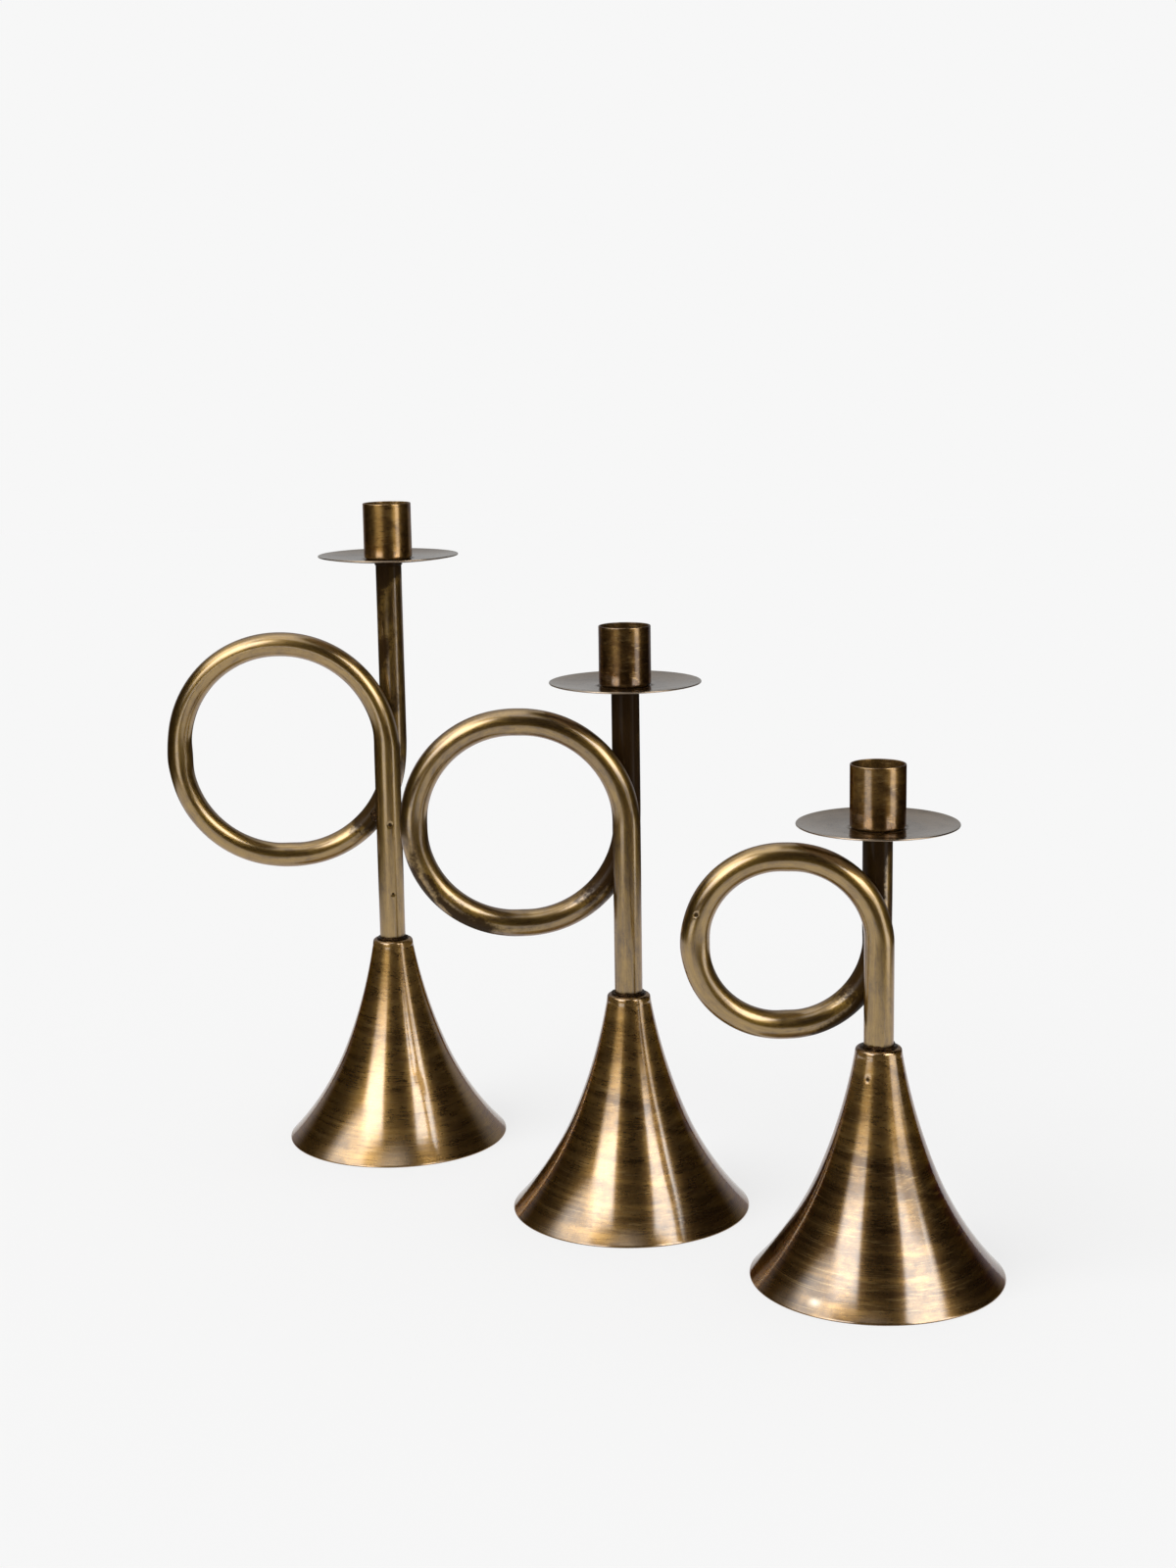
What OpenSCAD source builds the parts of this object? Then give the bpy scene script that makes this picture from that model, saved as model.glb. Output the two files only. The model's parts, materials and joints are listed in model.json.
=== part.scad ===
// Set of three looped tube candle holders in antique brass: tall, middle and short.
// Each holder is a spun bell base, one bent tube with a full loop in it, a shallow drip pan
// and a straight candle cup. The three stand apart on one table, in a diagonal line.
// Millimetres, +Z up, -Y is the front. The origin is on the table, under the middle of the set.

/* [Set] */
// Step to the right from the tall bell's axis to the middle one
tall_to_middle_x = 119; // [117:1:160]
// Step towards the front from the tall bell's axis to the middle one
tall_to_middle_y = 111; // [80:1:150]
// Step to the right from the middle bell's axis to the short one
middle_to_short_x = 106; // [100:1:150]
// Step towards the front from the middle bell's axis to the short one
middle_to_short_y = 90; // [70:1:130]

/* [Bell base] */
// Outer diameter of the bell's foot
bell_d = 112.8; // [106:0.4:124]
// Height of the bell up to the flat top of its shoulder
bell_h = 104; // [98:0.5:108]
// Outer diameter of the bell's neck, where the shoulder begins to turn in
neck_d = 20.6; // [20:0.2:24]
// Lean of the bell's wall from the vertical, at the foot
foot_angle = 43.5; // [38:0.5:48]
// Lean of the bell's wall from the vertical, at the neck
neck_angle = 9.7; // [8:0.1:12]
// Outer radius of the turned-in shoulder
shoulder_r = 2.8; // [2:0.1:3]
// Thickness of the spun brass sheet
bell_wall = 1; // [0.8:0.05:1.2]

/* [Loop tube] */
// Outer diameter of the tube
tube_d = 13; // [12:0.1:13.4]
// Wall of the tube
tube_wall = 1; // [0.8:0.1:1.5]
// Gap between the two strands where they pass at the loop's crossing
strand_gap = 0.3; // [0.2:0.1:1]
// How far the tube's lower end reaches into the bell, below the bell's top
tube_depth = 8; // [6:0.5:12]
// Reach of the tall loop, from the lower stem's axis to the centre line of the far side
tall_loop_w = 105.8; // [105.2:0.2:112]
// Height of the tall loop between centre lines
tall_loop_h = 109.8; // [106:0.2:114]
// Centre-line radius of the tall loop's bends
tall_bend_r = 52.5; // [48:0.25:52.5]
// Clear height from the tall bell's top up to the underside of its loop
tall_foot_gap = 36; // [1:0.1:60]
// Clear height from the top of the tall loop up to its pan, for a rim 300 above the table
tall_head_gap = 34.2; // [1:0.1:60]
// Sideways step from the tall holder's lower stem to its upper stem
tall_side_step = 2.6; // [0:0.2:4]
// Reach of the middle loop
middle_loop_w = 98.9; // [97:0.1:104]
// Height of the middle loop between centre lines
middle_loop_h = 96.6; // [96:0.1:99]
// Centre-line radius of the middle loop's bends
middle_bend_r = 48; // [45:0.25:48]
// Clear height from the middle bell's top up to the underside of its loop
middle_foot_gap = 25.8; // [1:0.1:60]
// Clear height from the top of the middle loop up to its pan, for a rim 250 above the table
middle_head_gap = 7.6; // [1:0.1:60]
// Sideways step from the middle holder's lower stem to its upper stem
middle_side_step = 0.4; // [0:0.2:3]
// Reach of the short loop
short_loop_w = 78.6; // [77:0.1:84]
// Height of the short loop between centre lines
short_loop_h = 76; // [75.6:0.1:77]
// Centre-line radius of the short loop's bends
short_bend_r = 37.8; // [35:0.2:37.8]
// Clear height from the short bell's top up to the underside of its loop
short_foot_gap = 1.1; // [1:0.1:60]
// Clear height from the top of the short loop up to its pan, for a rim 200 above the table
short_head_gap = 2.9; // [1:0.1:60]
// Sideways step from the short holder's lower stem to its upper stem
short_side_step = 0.6; // [0:0.2:3]

/* [Drip pan] */
// Outer diameter of the pan
pan_d = 70.4; // [64:0.4:80]
// Depth of the dish, from the rim down to the seat of the cup
pan_depth = 2.2; // [1.6:0.1:3]
// Thickness of the pan's sheet
pan_sheet = 0.8; // [0.6:0.1:1]
// Diameter of the pan's flat seat
pan_seat_d = 26; // [25:0.5:32]

/* [Candle cup] */
// Bore of the cup, for a 22 mm dinner candle
cup_bore_d = 22.5; // [21:0.1:23]
// Wall and floor of the cup
cup_wall = 0.85; // [0.7:0.05:1]
// Height of the cup
cup_h = 27.8; // [24:0.2:34]
// Outer radius of the cup's lower corner
cup_corner_r = 1.6; // [1.2:0.1:2.4]

/* [Fixings] */
// Height of the plug's collar between the tube and the pan
collar_h = 2.4; // [1.6:0.1:2.6]
// How far the collar stands out past the tube
collar_lip = 0.5; // [0.3:0.1:1]
// Length of the plug's spigot inside the tube
spigot_l = 12; // [8:0.5:14]
// Diameter of the screw's shank
screw_d = 5; // [4:0.5:6]
// Length of the screw, from its flat head to its tip
screw_l = 13; // [10:0.5:14]
// Diameter of the countersunk head, which lies flush with the cup's floor
screw_head_d = 9; // [8:0.2:10]
// Width of the driver slot
slot_w = 1.2; // [1:0.1:1.6]
// Depth of the driver slot
slot_depth = 1.2; // [0.8:0.1:1.4]
// Section radius of the braze bead round the tube
bead_r = 1.3; // [1:0.1:1.5]
// Radius of the weld tack at the tall loop's crossing
tack_r = 3.2; // [3:0.1:3.6]

/* [Hidden] */
$fn = 96;

// The three holders, as indices into the lists below
tall = 0;
middle = 1;
short = 2;
loop_w = [tall_loop_w, middle_loop_w, short_loop_w];
loop_h = [tall_loop_h, middle_loop_h, short_loop_h];
bend_r = [tall_bend_r, middle_bend_r, short_bend_r];
foot_gap = [tall_foot_gap, middle_foot_gap, short_foot_gap];
head_gap = [tall_head_gap, middle_head_gap, short_head_gap];
side_step = [tall_side_step, middle_side_step, short_side_step];

// Clearances
slip_gap = 0.15; // round the tube in the bell, the spigot in the tube and beads round tubes
sink_gap = 0.15; // round the screw's cone in the countersink
thread_gap = 0.1; // round the screw's shank in the plug
through_gap = 0.3; // round the screw's shank in the cup's floor and the pan
cut = 1; // overrun of every cut
// How far the wall of a bend stands out past that of the straights, inside and outside: a bend
// presses the tube a little, and this small step also closes each joint between the two
bend_swell = 0.02;

tube_r = tube_d / 2;
bell_r = bell_d / 2;
pan_r = pan_d / 2;
cup_r = cup_bore_d / 2 + cup_wall;
// Step to the back from the lower stem, which passes in front, to the upper stem
back_step = tube_d + strand_gap;

// Places of the bells' axes, with the middle of the whole set's box at the origin
far_left = -(tall_loop_w + tube_r);
far_right = tall_to_middle_x + middle_to_short_x + bell_r;
tall_x = -(far_left + far_right) / 2;
tall_y = (tall_to_middle_y + middle_to_short_y) / 2;
axis_x = [tall_x, tall_x + tall_to_middle_x, tall_x + tall_to_middle_x + middle_to_short_x];
axis_y = [tall_y, tall_y - tall_to_middle_y, tall_y - tall_to_middle_y - middle_to_short_y];

// Heights up a holder: the tube's foot, the loop's middle, and then the stack under the cup
tube_foot_z = bell_h - tube_depth;
function loop_z(h) = bell_h + foot_gap[h] + tube_r + loop_h[h] / 2;
function collar_top_z(h) = loop_z(h) + loop_h[h] / 2 + tube_r + head_gap[h];
function seat_z(h) = collar_top_z(h) + pan_sheet;
function tube_top_z(h) = collar_top_z(h) - collar_h;

// The bell's outline: two arcs that meet with one tangent, then the shoulder's arc, which is cut
// off a little below its start so that it laps the arc before it.
// Points are [radius, height]. A wall that leans by a has its outward normal at [cos(a), sin(a)].
function normal_at(a) = [cos(a), sin(a)];
function tangent_at(a) = [-sin(a), cos(a)];
foot = [bell_r, 0];
neck = [neck_d / 2, bell_h - shoulder_r * (1 - sin(neck_angle))];
span = neck - foot;
sum_tangent = tangent_at(foot_angle) + tangent_at(neck_angle);
turn_share = 2 * (1 - tangent_at(foot_angle) * tangent_at(neck_angle));
reach_arc = (sqrt(pow(span * sum_tangent, 2) + turn_share * (span * span)) - span * sum_tangent) / turn_share;
join = (foot + neck + reach_arc * (tangent_at(foot_angle) - tangent_at(neck_angle))) / 2;
function arc_radius(from, to, n) = ((to - from) * (to - from)) / (2 * (n * (to - from)));
flare_r = arc_radius(foot, join, normal_at(foot_angle));
flare_centre = foot + flare_r * normal_at(foot_angle);
waist_r = arc_radius(neck, join, normal_at(neck_angle));
waist_centre = neck + waist_r * normal_at(neck_angle);
join_normal = (flare_centre - join) / flare_r;
shoulder_centre = neck - shoulder_r * normal_at(neck_angle);
shoulder_lap = shoulder_r / 4;

// Everything inside the bell's outer skin, drawn inset by the given depth and run down by the given drop
module bell_outline(inset, drop) {
    low = -drop;
    mid = join[1] - inset * join_normal[1];
    high = neck[1] - inset * sin(neck_angle);
    top = bell_h - inset;
    difference() {
        translate([0, low]) square([bell_d, mid - low]);
        translate(flare_centre) circle(flare_r + inset);
    }
    difference() {
        translate([0, mid]) square([bell_d, high - mid]);
        translate(waist_centre) circle(waist_r + inset);
    }
    intersection() {
        translate(shoulder_centre) circle(shoulder_r - inset);
        translate([0, high - shoulder_lap]) square([neck_d, top - high + shoulder_lap]);
    }
    translate([0, high - shoulder_r]) square([shoulder_centre[0], top - high + shoulder_r]);
}

module bell_base(h) {
    color([0.56, 0.44, 0.26])
    translate([axis_x[h], axis_y[h], 0])
    rotate_extrude(angle = 360)
    difference() {
        bell_outline(0, 0);
        bell_outline(bell_wall, cut);
        square([tube_r + slip_gap, bell_h + cut]);
    }
}

// A tube that a bender would make from a list of steps, each of them one of:
// ["straight", length], ["bend", radius, angle] towards -X, ["twist", angle] of the bending plane
module bent_tube(steps, outer_r, inner_r, i = 0) {
    if (i < len(steps)) {
        step = steps[i];
        if (step[0] == "straight") {
            tube_length(step[1], outer_r, inner_r);
            translate([0, 0, step[1]]) bent_tube(steps, outer_r, inner_r, i + 1);
        } else if (step[0] == "bend") {
            tube_bend(step[1], step[2], outer_r, inner_r);
            translate([-step[1], 0, 0]) rotate([0, -step[2], 0]) translate([step[1], 0, 0])
                bent_tube(steps, outer_r, inner_r, i + 1);
        } else {
            rotate([0, 0, step[1]]) bent_tube(steps, outer_r, inner_r, i + 1);
        }
    }
}

module tube_section(outer_r, inner_r) {
    difference() {
        circle(outer_r);
        if (inner_r > 0) circle(inner_r);
    }
}

module tube_length(l, outer_r, inner_r) {
    linear_extrude(l) tube_section(outer_r, inner_r);
}

module tube_bend(r, angle, outer_r, inner_r) {
    bore_r = inner_r > 0 ? inner_r - bend_swell : 0;
    translate([-r, 0, 0]) rotate([90, 0, 0]) rotate_extrude(angle = angle)
        translate([r, 0]) tube_section(outer_r + bend_swell, bore_r);
}

// The bender's list for one holder: up the lower stem, over the top to the left, down, and back
// along the bottom behind the lower stem, where it turns up into the upper stem. Both halves of
// the loop are swung a little round the vertical, so that the strands pass side by side.
function loop_steps(h) =
    let (
        out_reach = norm([loop_w[h], back_step / 2]),
        out_swing = atan2(back_step / 2, loop_w[h]),
        home_w = loop_w[h] + side_step[h],
        home_reach = norm([home_w, back_step / 2]),
        home_swing = atan2(back_step / 2, home_w),
        r = bend_r[h],
        side_l = loop_h[h] - 2 * r
    )
    [
        ["straight", loop_z(h) + side_l / 2 - tube_foot_z],
        ["twist", -out_swing],
        ["bend", r, 90],
        ["straight", out_reach - 2 * r],
        ["bend", r, 90],
        ["straight", side_l],
        ["twist", -(out_swing + home_swing)],
        ["bend", r, 90],
        ["straight", home_reach - 2 * r],
        ["bend", r, 90],
        ["straight", tube_top_z(h) - (loop_z(h) - side_l / 2)]
    ];

// The tube of one holder, drawn where it stands
module routed_tube(h, outer_r, inner_r) {
    translate([axis_x[h], axis_y[h], tube_foot_z]) bent_tube(loop_steps(h), outer_r, inner_r);
}

module loop_tube(h) {
    color([0.45, 0.35, 0.21]) routed_tube(h, tube_r, tube_r - tube_wall);
}

// Moves a piece from the origin to the axis of one holder's upper stem, at the given height
module on_upper_stem(h, z) {
    translate([axis_x[h] + side_step[h], axis_y[h] + back_step, z]) children();
}

// The screw's cone of a right angle, from the shank out to the head's flat top at z = 0, with a gap
// round it. What the cone sinks through is cut open above it as well.
module screw_cone(gap, above) {
    cone_h = (screw_head_d - screw_d) / 2;
    translate([0, 0, -cone_h]) cylinder(h = cone_h, r1 = screw_d / 2 + gap, r2 = screw_head_d / 2 + gap);
    if (above > 0)
        cylinder(h = above, r = screw_head_d / 2 + gap);
}

module tube_plug(h) {
    color([0.2, 0.16, 0.11])
    on_upper_stem(h, tube_top_z(h))
    difference() {
        union() {
            cylinder(h = collar_h, r = tube_r + collar_lip);
            translate([0, 0, -spigot_l]) cylinder(h = spigot_l + collar_h / 2, r = tube_r - tube_wall - slip_gap);
        }
        translate([0, 0, collar_h - screw_l]) cylinder(h = screw_l + cut, r = screw_d / 2 + thread_gap);
        translate([0, 0, collar_h + pan_sheet + cup_wall]) screw_cone(sink_gap, 0);
    }
}

// Half of the pan's section: a flat seat, then one arc up to the rim
pan_run = pan_r - pan_seat_d / 2;
pan_arc_r = (pan_run * pan_run + pan_depth * pan_depth) / (2 * pan_depth);

module drip_pan(h) {
    arc_centre = [pan_seat_d / 2, pan_arc_r + pan_sheet];
    color([0.5, 0.44, 0.38])
    on_upper_stem(h, collar_top_z(h))
    difference() {
        rotate_extrude(angle = 360)
        difference() {
            union() {
                square([pan_seat_d / 2, pan_sheet]);
                intersection() {
                    difference() {
                        translate(arc_centre) circle(pan_arc_r + pan_sheet);
                        translate(arc_centre) circle(pan_arc_r);
                    }
                    translate([pan_seat_d / 2, 0]) square([pan_run, pan_depth + pan_sheet]);
                }
            }
            square([screw_d / 2 + through_gap, pan_sheet + cut]);
        }
        translate([0, 0, pan_sheet + cup_wall]) screw_cone(sink_gap, 0);
    }
}

// A cup's section filled solid: straight side, round lower corner, inset by the given depth
module cup_outline(inset, top) {
    r = cup_r - inset;
    corner = cup_corner_r - inset;
    translate([0, cup_corner_r]) square([r, top - cup_corner_r]);
    translate([0, inset]) square([r - corner, corner]);
    intersection() {
        translate([r - corner, cup_corner_r]) circle(corner);
        translate([r - corner, inset]) square([corner, corner]);
    }
}

module candle_cup(h) {
    color([0.52, 0.41, 0.25])
    on_upper_stem(h, seat_z(h))
    difference() {
        rotate_extrude(angle = 360)
        difference() {
            cup_outline(0, cup_h);
            cup_outline(cup_wall, cup_h + cut);
            square([screw_d / 2 + through_gap, cup_wall + cut]);
        }
        translate([0, 0, cup_wall]) screw_cone(sink_gap, cut);
    }
}

module cup_screw(h) {
    color([0.62, 0.5, 0.3])
    on_upper_stem(h, seat_z(h) + cup_wall)
    difference() {
        union() {
            screw_cone(0, 0);
            translate([0, 0, -screw_l]) cylinder(h = screw_l, r = screw_d / 2);
        }
        translate([-screw_head_d / 2, -slot_w / 2, -slot_depth]) cube([screw_head_d, slot_w, slot_depth + cut]);
    }
}

// The bead of braze that joins the tube to the bell's shoulder
module braze_bead(h) {
    inner = tube_r + slip_gap;
    color([0.12, 0.1, 0.08])
    translate([axis_x[h], axis_y[h], bell_h])
    rotate_extrude(angle = 360)
    intersection() {
        translate([inner, 0]) circle(bead_r);
        translate([inner, 0]) square([bead_r, bead_r]);
    }
}

// The tack that holds the two strands together, just under the crossing of the tall loop.
// It sits in the notch on the loop's side of the lower stem, trimmed to both strands.
module weld_tack(h) {
    notch_drop = loop_h[h] * tack_drop_share;
    color([0.16, 0.13, 0.09])
    difference() {
        translate([axis_x[h] - tube_r - tack_r * tack_out_share, axis_y[h] + back_step / 2, loop_z(h) - notch_drop])
            sphere(tack_r);
        routed_tube(h, tube_r + slip_gap, 0);
    }
}
// Where the tack sits: below the loop's middle, as a share of the loop's height, and out from
// the stem's side, as a share of its own radius
tack_drop_share = 0.31;
tack_out_share = 0.2;

bell_base(tall);  // tall_bell_base
loop_tube(tall);  // tall_loop_tube
tube_plug(tall);  // tall_tube_plug
drip_pan(tall);  // tall_drip_pan
candle_cup(tall);  // tall_candle_cup
cup_screw(tall);  // tall_cup_screw
braze_bead(tall);  // tall_braze_bead
weld_tack(tall);  // tall_weld_tack
bell_base(middle);  // middle_bell_base
loop_tube(middle);  // middle_loop_tube
tube_plug(middle);  // middle_tube_plug
drip_pan(middle);  // middle_drip_pan
candle_cup(middle);  // middle_candle_cup
cup_screw(middle);  // middle_cup_screw
braze_bead(middle);  // middle_braze_bead
bell_base(short);  // short_bell_base
loop_tube(short);  // short_loop_tube
tube_plug(short);  // short_tube_plug
drip_pan(short);  // short_drip_pan
candle_cup(short);  // short_candle_cup
cup_screw(short);  // short_cup_screw
braze_bead(short);  // short_braze_bead
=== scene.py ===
"""The looks of a set of three looped tube candle holders in antique brass.

Each holder is a spun bell, one bent tube, a turned plug, a dished pan and a drawn cup. Every new
piece is a surface worked out with numpy: a profile turned round an axis, a round section carried
along the tube's path, or a lumpy ball. Lengths are in metres, +Z is up and -Y is the front.
"""

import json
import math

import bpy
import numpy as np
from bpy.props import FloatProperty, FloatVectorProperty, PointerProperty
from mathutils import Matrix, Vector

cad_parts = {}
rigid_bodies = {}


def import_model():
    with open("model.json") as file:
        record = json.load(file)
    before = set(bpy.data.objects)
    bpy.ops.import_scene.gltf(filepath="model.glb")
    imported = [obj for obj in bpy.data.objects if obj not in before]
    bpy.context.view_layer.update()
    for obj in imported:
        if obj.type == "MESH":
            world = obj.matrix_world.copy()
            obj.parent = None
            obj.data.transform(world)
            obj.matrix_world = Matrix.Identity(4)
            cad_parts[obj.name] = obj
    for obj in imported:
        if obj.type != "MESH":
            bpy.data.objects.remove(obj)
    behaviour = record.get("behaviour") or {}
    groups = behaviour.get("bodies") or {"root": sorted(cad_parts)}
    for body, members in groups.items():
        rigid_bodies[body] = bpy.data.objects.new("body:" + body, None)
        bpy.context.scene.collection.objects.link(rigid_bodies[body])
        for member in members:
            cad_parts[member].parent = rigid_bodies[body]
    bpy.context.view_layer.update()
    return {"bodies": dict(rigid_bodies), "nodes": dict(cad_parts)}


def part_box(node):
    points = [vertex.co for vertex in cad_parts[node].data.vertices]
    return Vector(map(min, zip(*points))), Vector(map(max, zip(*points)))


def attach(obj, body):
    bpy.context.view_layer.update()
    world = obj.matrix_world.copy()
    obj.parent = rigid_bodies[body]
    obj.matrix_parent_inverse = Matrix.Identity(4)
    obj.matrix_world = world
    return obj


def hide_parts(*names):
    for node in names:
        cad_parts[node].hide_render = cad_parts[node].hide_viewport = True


bl_info = {
    "name": "Looped Tube Candle Holders",
    "version": (1, 0, 0),
    "blender": (4, 5, 0),
    "location": "View3D > Sidebar > Candle Holders",
    "description": "Dresses three looped tube candle holders in antique brass",
    "category": "Object",
}

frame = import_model()

HOLDERS = ("tall", "middle", "short")
BODY = next(iter(frame["bodies"]))
MM = 0.001
FULL_TURN = 2 * math.pi


# Places and sizes read from the frame

def corners(node):
    """Lowest and highest corner of a CAD node as arrays, rounded to a twentieth of a millimetre."""
    step = MM / 20
    return [np.round(np.array(corner) / step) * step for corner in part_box(node)]


class Holder:
    """The two upright axes of one candle holder and the heights of its pieces."""

    def __init__(self, name):
        self.name = name
        self.index = HOLDERS.index(name)
        low, high = corners(f"{name}_bell_base")
        self.stem = (low + high)[:2] / 2
        self.bell_r = (high - low)[1] / 2
        self.bell_top = high[2]
        low, high = corners(f"{name}_candle_cup")
        self.head = (low + high)[:2] / 2
        self.cup_r = (high - low)[1] / 2
        self.seat, self.cup_top = low[2], high[2]
        low, high = corners(f"{name}_drip_pan")
        self.pan_r = (high - low)[1] / 2
        self.pan_foot, self.rim = low[2], high[2]
        low, high = corners(f"{name}_loop_tube")
        self.tube_foot, self.tube_top = low[2], high[2]
        low, high = corners(f"{name}_tube_plug")
        self.collar_r = (high - low)[1] / 2
        self.plug_foot = low[2]

    def node(self, part):
        return f"{self.name}_{part}"


# Sizes and colours that a user would change

def length_setting(name, description, default):
    """A length in metres."""
    return FloatProperty(name=name, description=description, default=default, unit="LENGTH")


def three_lengths(name, description, default):
    """Lengths in metres for the tall, the middle and the short holder."""
    return FloatVectorProperty(name=name, description=description, default=default, size=3,
                               unit="LENGTH")


def angle_setting(name, description, degrees):
    """An angle, whose default is written in degrees."""
    return FloatProperty(name=name, description=description, default=math.radians(degrees),
                         subtype="ANGLE")


def share_setting(name, description, default):
    """A share between 0 and 1."""
    return FloatProperty(name=name, description=description, default=default, min=0, max=1,
                         subtype="FACTOR")


def colour_setting(name, description, default):
    """A colour as red, green and blue."""
    return FloatVectorProperty(name=name, description=description, default=default, size=3,
                               subtype="COLOR", min=0, max=1)


class HolderSizes(bpy.types.PropertyGroup):
    """Sizes of the candle holders that the frame's boxes don't give."""

    neck_d: length_setting("Bell neck", "Diameter of the bell under its shoulder", 0.0206)
    foot_angle: angle_setting("Foot lean", "Lean of the bell's wall from the vertical, at its foot", 43.5)
    neck_angle: angle_setting("Neck lean", "Lean of the bell's wall from the vertical, at its neck", 9.7)
    shoulder_r: length_setting("Shoulder", "Radius of the bell's turned-in shoulder", 0.0028)
    lip_w: length_setting("Lip", "Width of the turned-over lip at the bell's top", 0.0021)
    lip_r: length_setting("Lip edge", "Radius of the lip's outer edge", 0.0015)
    groove_depth: length_setting("Groove", "Depth of the groove that holds the braze", 0.0011)
    bell_wall: length_setting("Bell wall", "Thickness of the spun sheet", 0.001)
    tube_d: length_setting("Tube", "Outer diameter of the tube", 0.013)
    tube_wall: length_setting("Tube wall", "Wall of the tube", 0.001)
    loop_h: three_lengths("Loop heights", "Height of each loop between centre lines, tall to short",
                          (0.1098, 0.0966, 0.076))
    loop_w: three_lengths("Loop reaches", "Reach of each loop to the left of its lower stem, tall to short",
                          (0.1058, 0.0989, 0.0786))
    loop_z: three_lengths("Loop middles", "Height of each loop's middle above the table, tall to short",
                          (0.2014, 0.1846, 0.1496))
    bend_r: three_lengths("Bend radii", "Centre-line radius of each loop's bends, tall to short",
                          (0.0525, 0.048, 0.0378))
    loop_flat: FloatVectorProperty(
        name="Flattening", description="Share by which bending has narrowed the tube, tall to short",
        default=(0.075, 0.04, 0.06), size=3, min=0, max=1)
    pan_sheet: length_setting("Pan sheet", "Thickness of the drip pan", 0.0008)
    pan_seat_d: length_setting("Pan seat", "Diameter of the pan's flat seat", 0.026)
    cup_wall: length_setting("Cup wall", "Wall and floor of the candle cup", 0.00085)
    cup_corner_r: length_setting("Cup corner", "Outer radius of the cup's lower corner", 0.0016)
    screw_d: length_setting("Screw", "Diameter of the screw's shank", 0.005)
    screw_head_d: length_setting("Screw head", "Diameter of the countersunk head", 0.009)
    sink_gap: length_setting("Countersink gap", "Gap round the screw's cone", 0.00015)
    bead_r: length_setting("Braze bead", "Section radius of the braze round the tube's foot", 0.0013)


class BrassFinish(bpy.types.PropertyGroup):
    """Colours of the antique brass, from rubbed bright to blackened."""

    bright: colour_setting("Bright brass", "Brass rubbed nearly clean", (0.5, 0.33, 0.13))
    brass: colour_setting("Aged brass", "The brass between highlights", (0.36, 0.207, 0.06))
    umber: colour_setting("Umber patina", "Brown patina in streaks and bands", (0.085, 0.042, 0.012))
    # Black also paints the shade inside the cups, round their feet on the pans and where the strands cross
    black: colour_setting("Blackening", "Soot and flux left in corners", (0.013, 0.0055, 0.0016))
    olive: colour_setting("Tube brass", "The yellower brass of the tubes", (0.325, 0.193, 0.036))
    pan: colour_setting("Pan brass", "The greyer brass of the drip pans", (0.29, 0.205, 0.125))
    # A painted glint: this pale colour stands in for the glint on a shallow dent in the short bell's foot
    painted_glint: colour_setting("Worn spot", "The pale spot knocked on the short bell's foot", (0.8, 0.74, 0.62))
    edge: colour_setting("Edge tint", "Tint of the reflection where the metal is seen at a slant",
                         (0.4, 0.27, 0.15))
    pan_edge: colour_setting("Pan edge tint", "The same tint on the drip pans, which are cleaner",
                             (1.0, 0.94, 0.87))
    lacquer: share_setting("Lacquer", "Weight of the clear lacquer over the brass", 1.0)
    lacquer_ior: FloatProperty(
        name="Lacquer index", description="Refractive index of the lacquer",
        default=1.85, min=1, max=2.5)


class StudioSettings(bpy.types.PropertyGroup):
    """The camera and the light."""

    camera_place: FloatVectorProperty(
        name="Camera", description="Where the camera stands",
        default=(0.01695, -1.0897, 0.41025), size=3, unit="LENGTH", subtype="TRANSLATION")
    camera_pitch: angle_setting("Pitch", "How far the camera looks down", 10.818)
    camera_roll: angle_setting("Roll", "How far the camera leans to its left", -0.915)
    focal_pixels: FloatProperty(
        name="Focal length", description="Focal length in pixels of a picture 1600 pixels high",
        default=2435.36, min=1)
    backdrop: share_setting("Backdrop", "Brightness of the pale surroundings", 0.93)
    gloom: share_setting("Gloom", "Brightness of the dark room that the metal reflects", 0.024)
    gloom_tint: colour_setting("Gloom tint", "Colour of the dark room", (1.0, 0.66, 0.38))
    shadow: share_setting("Shadow", "Share of the floor's brightness that shadows take away", 0.3)
    key: FloatProperty(
        name="Key light", description="Strength of the light that casts the shadows",
        default=2.0, min=0)
    key_azimuth: angle_setting("Key direction", "Turn of the key light about the vertical", -62)
    key_tilt: angle_setting("Key tilt", "Lean of the key light's beam from the vertical", 48)
    key_angle: angle_setting("Key breadth", "Breadth of the key light, which softens its shadows", 50)
    table_r: length_setting("Table", "Radius within which the metal reflects the pale table", 0.65)
    floor_w: length_setting("Floor", "Width of the pale floor", 8.0)
    room_r: length_setting("Room", "Radius of the dark ball round the table", 3.5)


# Meshes

# What each piece replaces in the CAD model, and its material slot
PARTS = {
    "bell": ("bell_base", "bell_brass"),
    "tube": ("loop_tube", "tube_brass"),
    "plug": ("tube_plug", "collar_brass"),
    "pan": ("drip_pan", "pan_brass"),
    "cup": ("candle_cup", "cup_brass"),
    "braze": ("braze_bead", "braze_metal"),
    "tack": ("weld_tack", "braze_metal"),
}


def grid_quads(rows, columns, close_rows, close_columns=True):
    """Corner numbers of the quads of a grid of points, whose rows and columns may wrap round."""
    row, column = np.meshgrid(np.arange(rows if close_rows else rows - 1),
                              np.arange(columns if close_columns else columns - 1), indexing="ij")
    next_row, next_column = (row + 1) % rows, (column + 1) % columns
    quads = np.stack([row * columns + column, row * columns + next_column,
                      next_row * columns + next_column, next_row * columns + column], -1)
    return quads.reshape(-1, 4)


def outward(points, quads):
    """The quads of a closed surface, turned round if the volume inside them comes out negative."""
    a, b, c, d = (points[quads[:, k]] for k in range(4))
    volume = np.einsum("ij,ij->", a, np.cross(b, c)) + np.einsum("ij,ij->", a, np.cross(c, d))
    return quads if volume > 0 else quads[:, ::-1]


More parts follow.
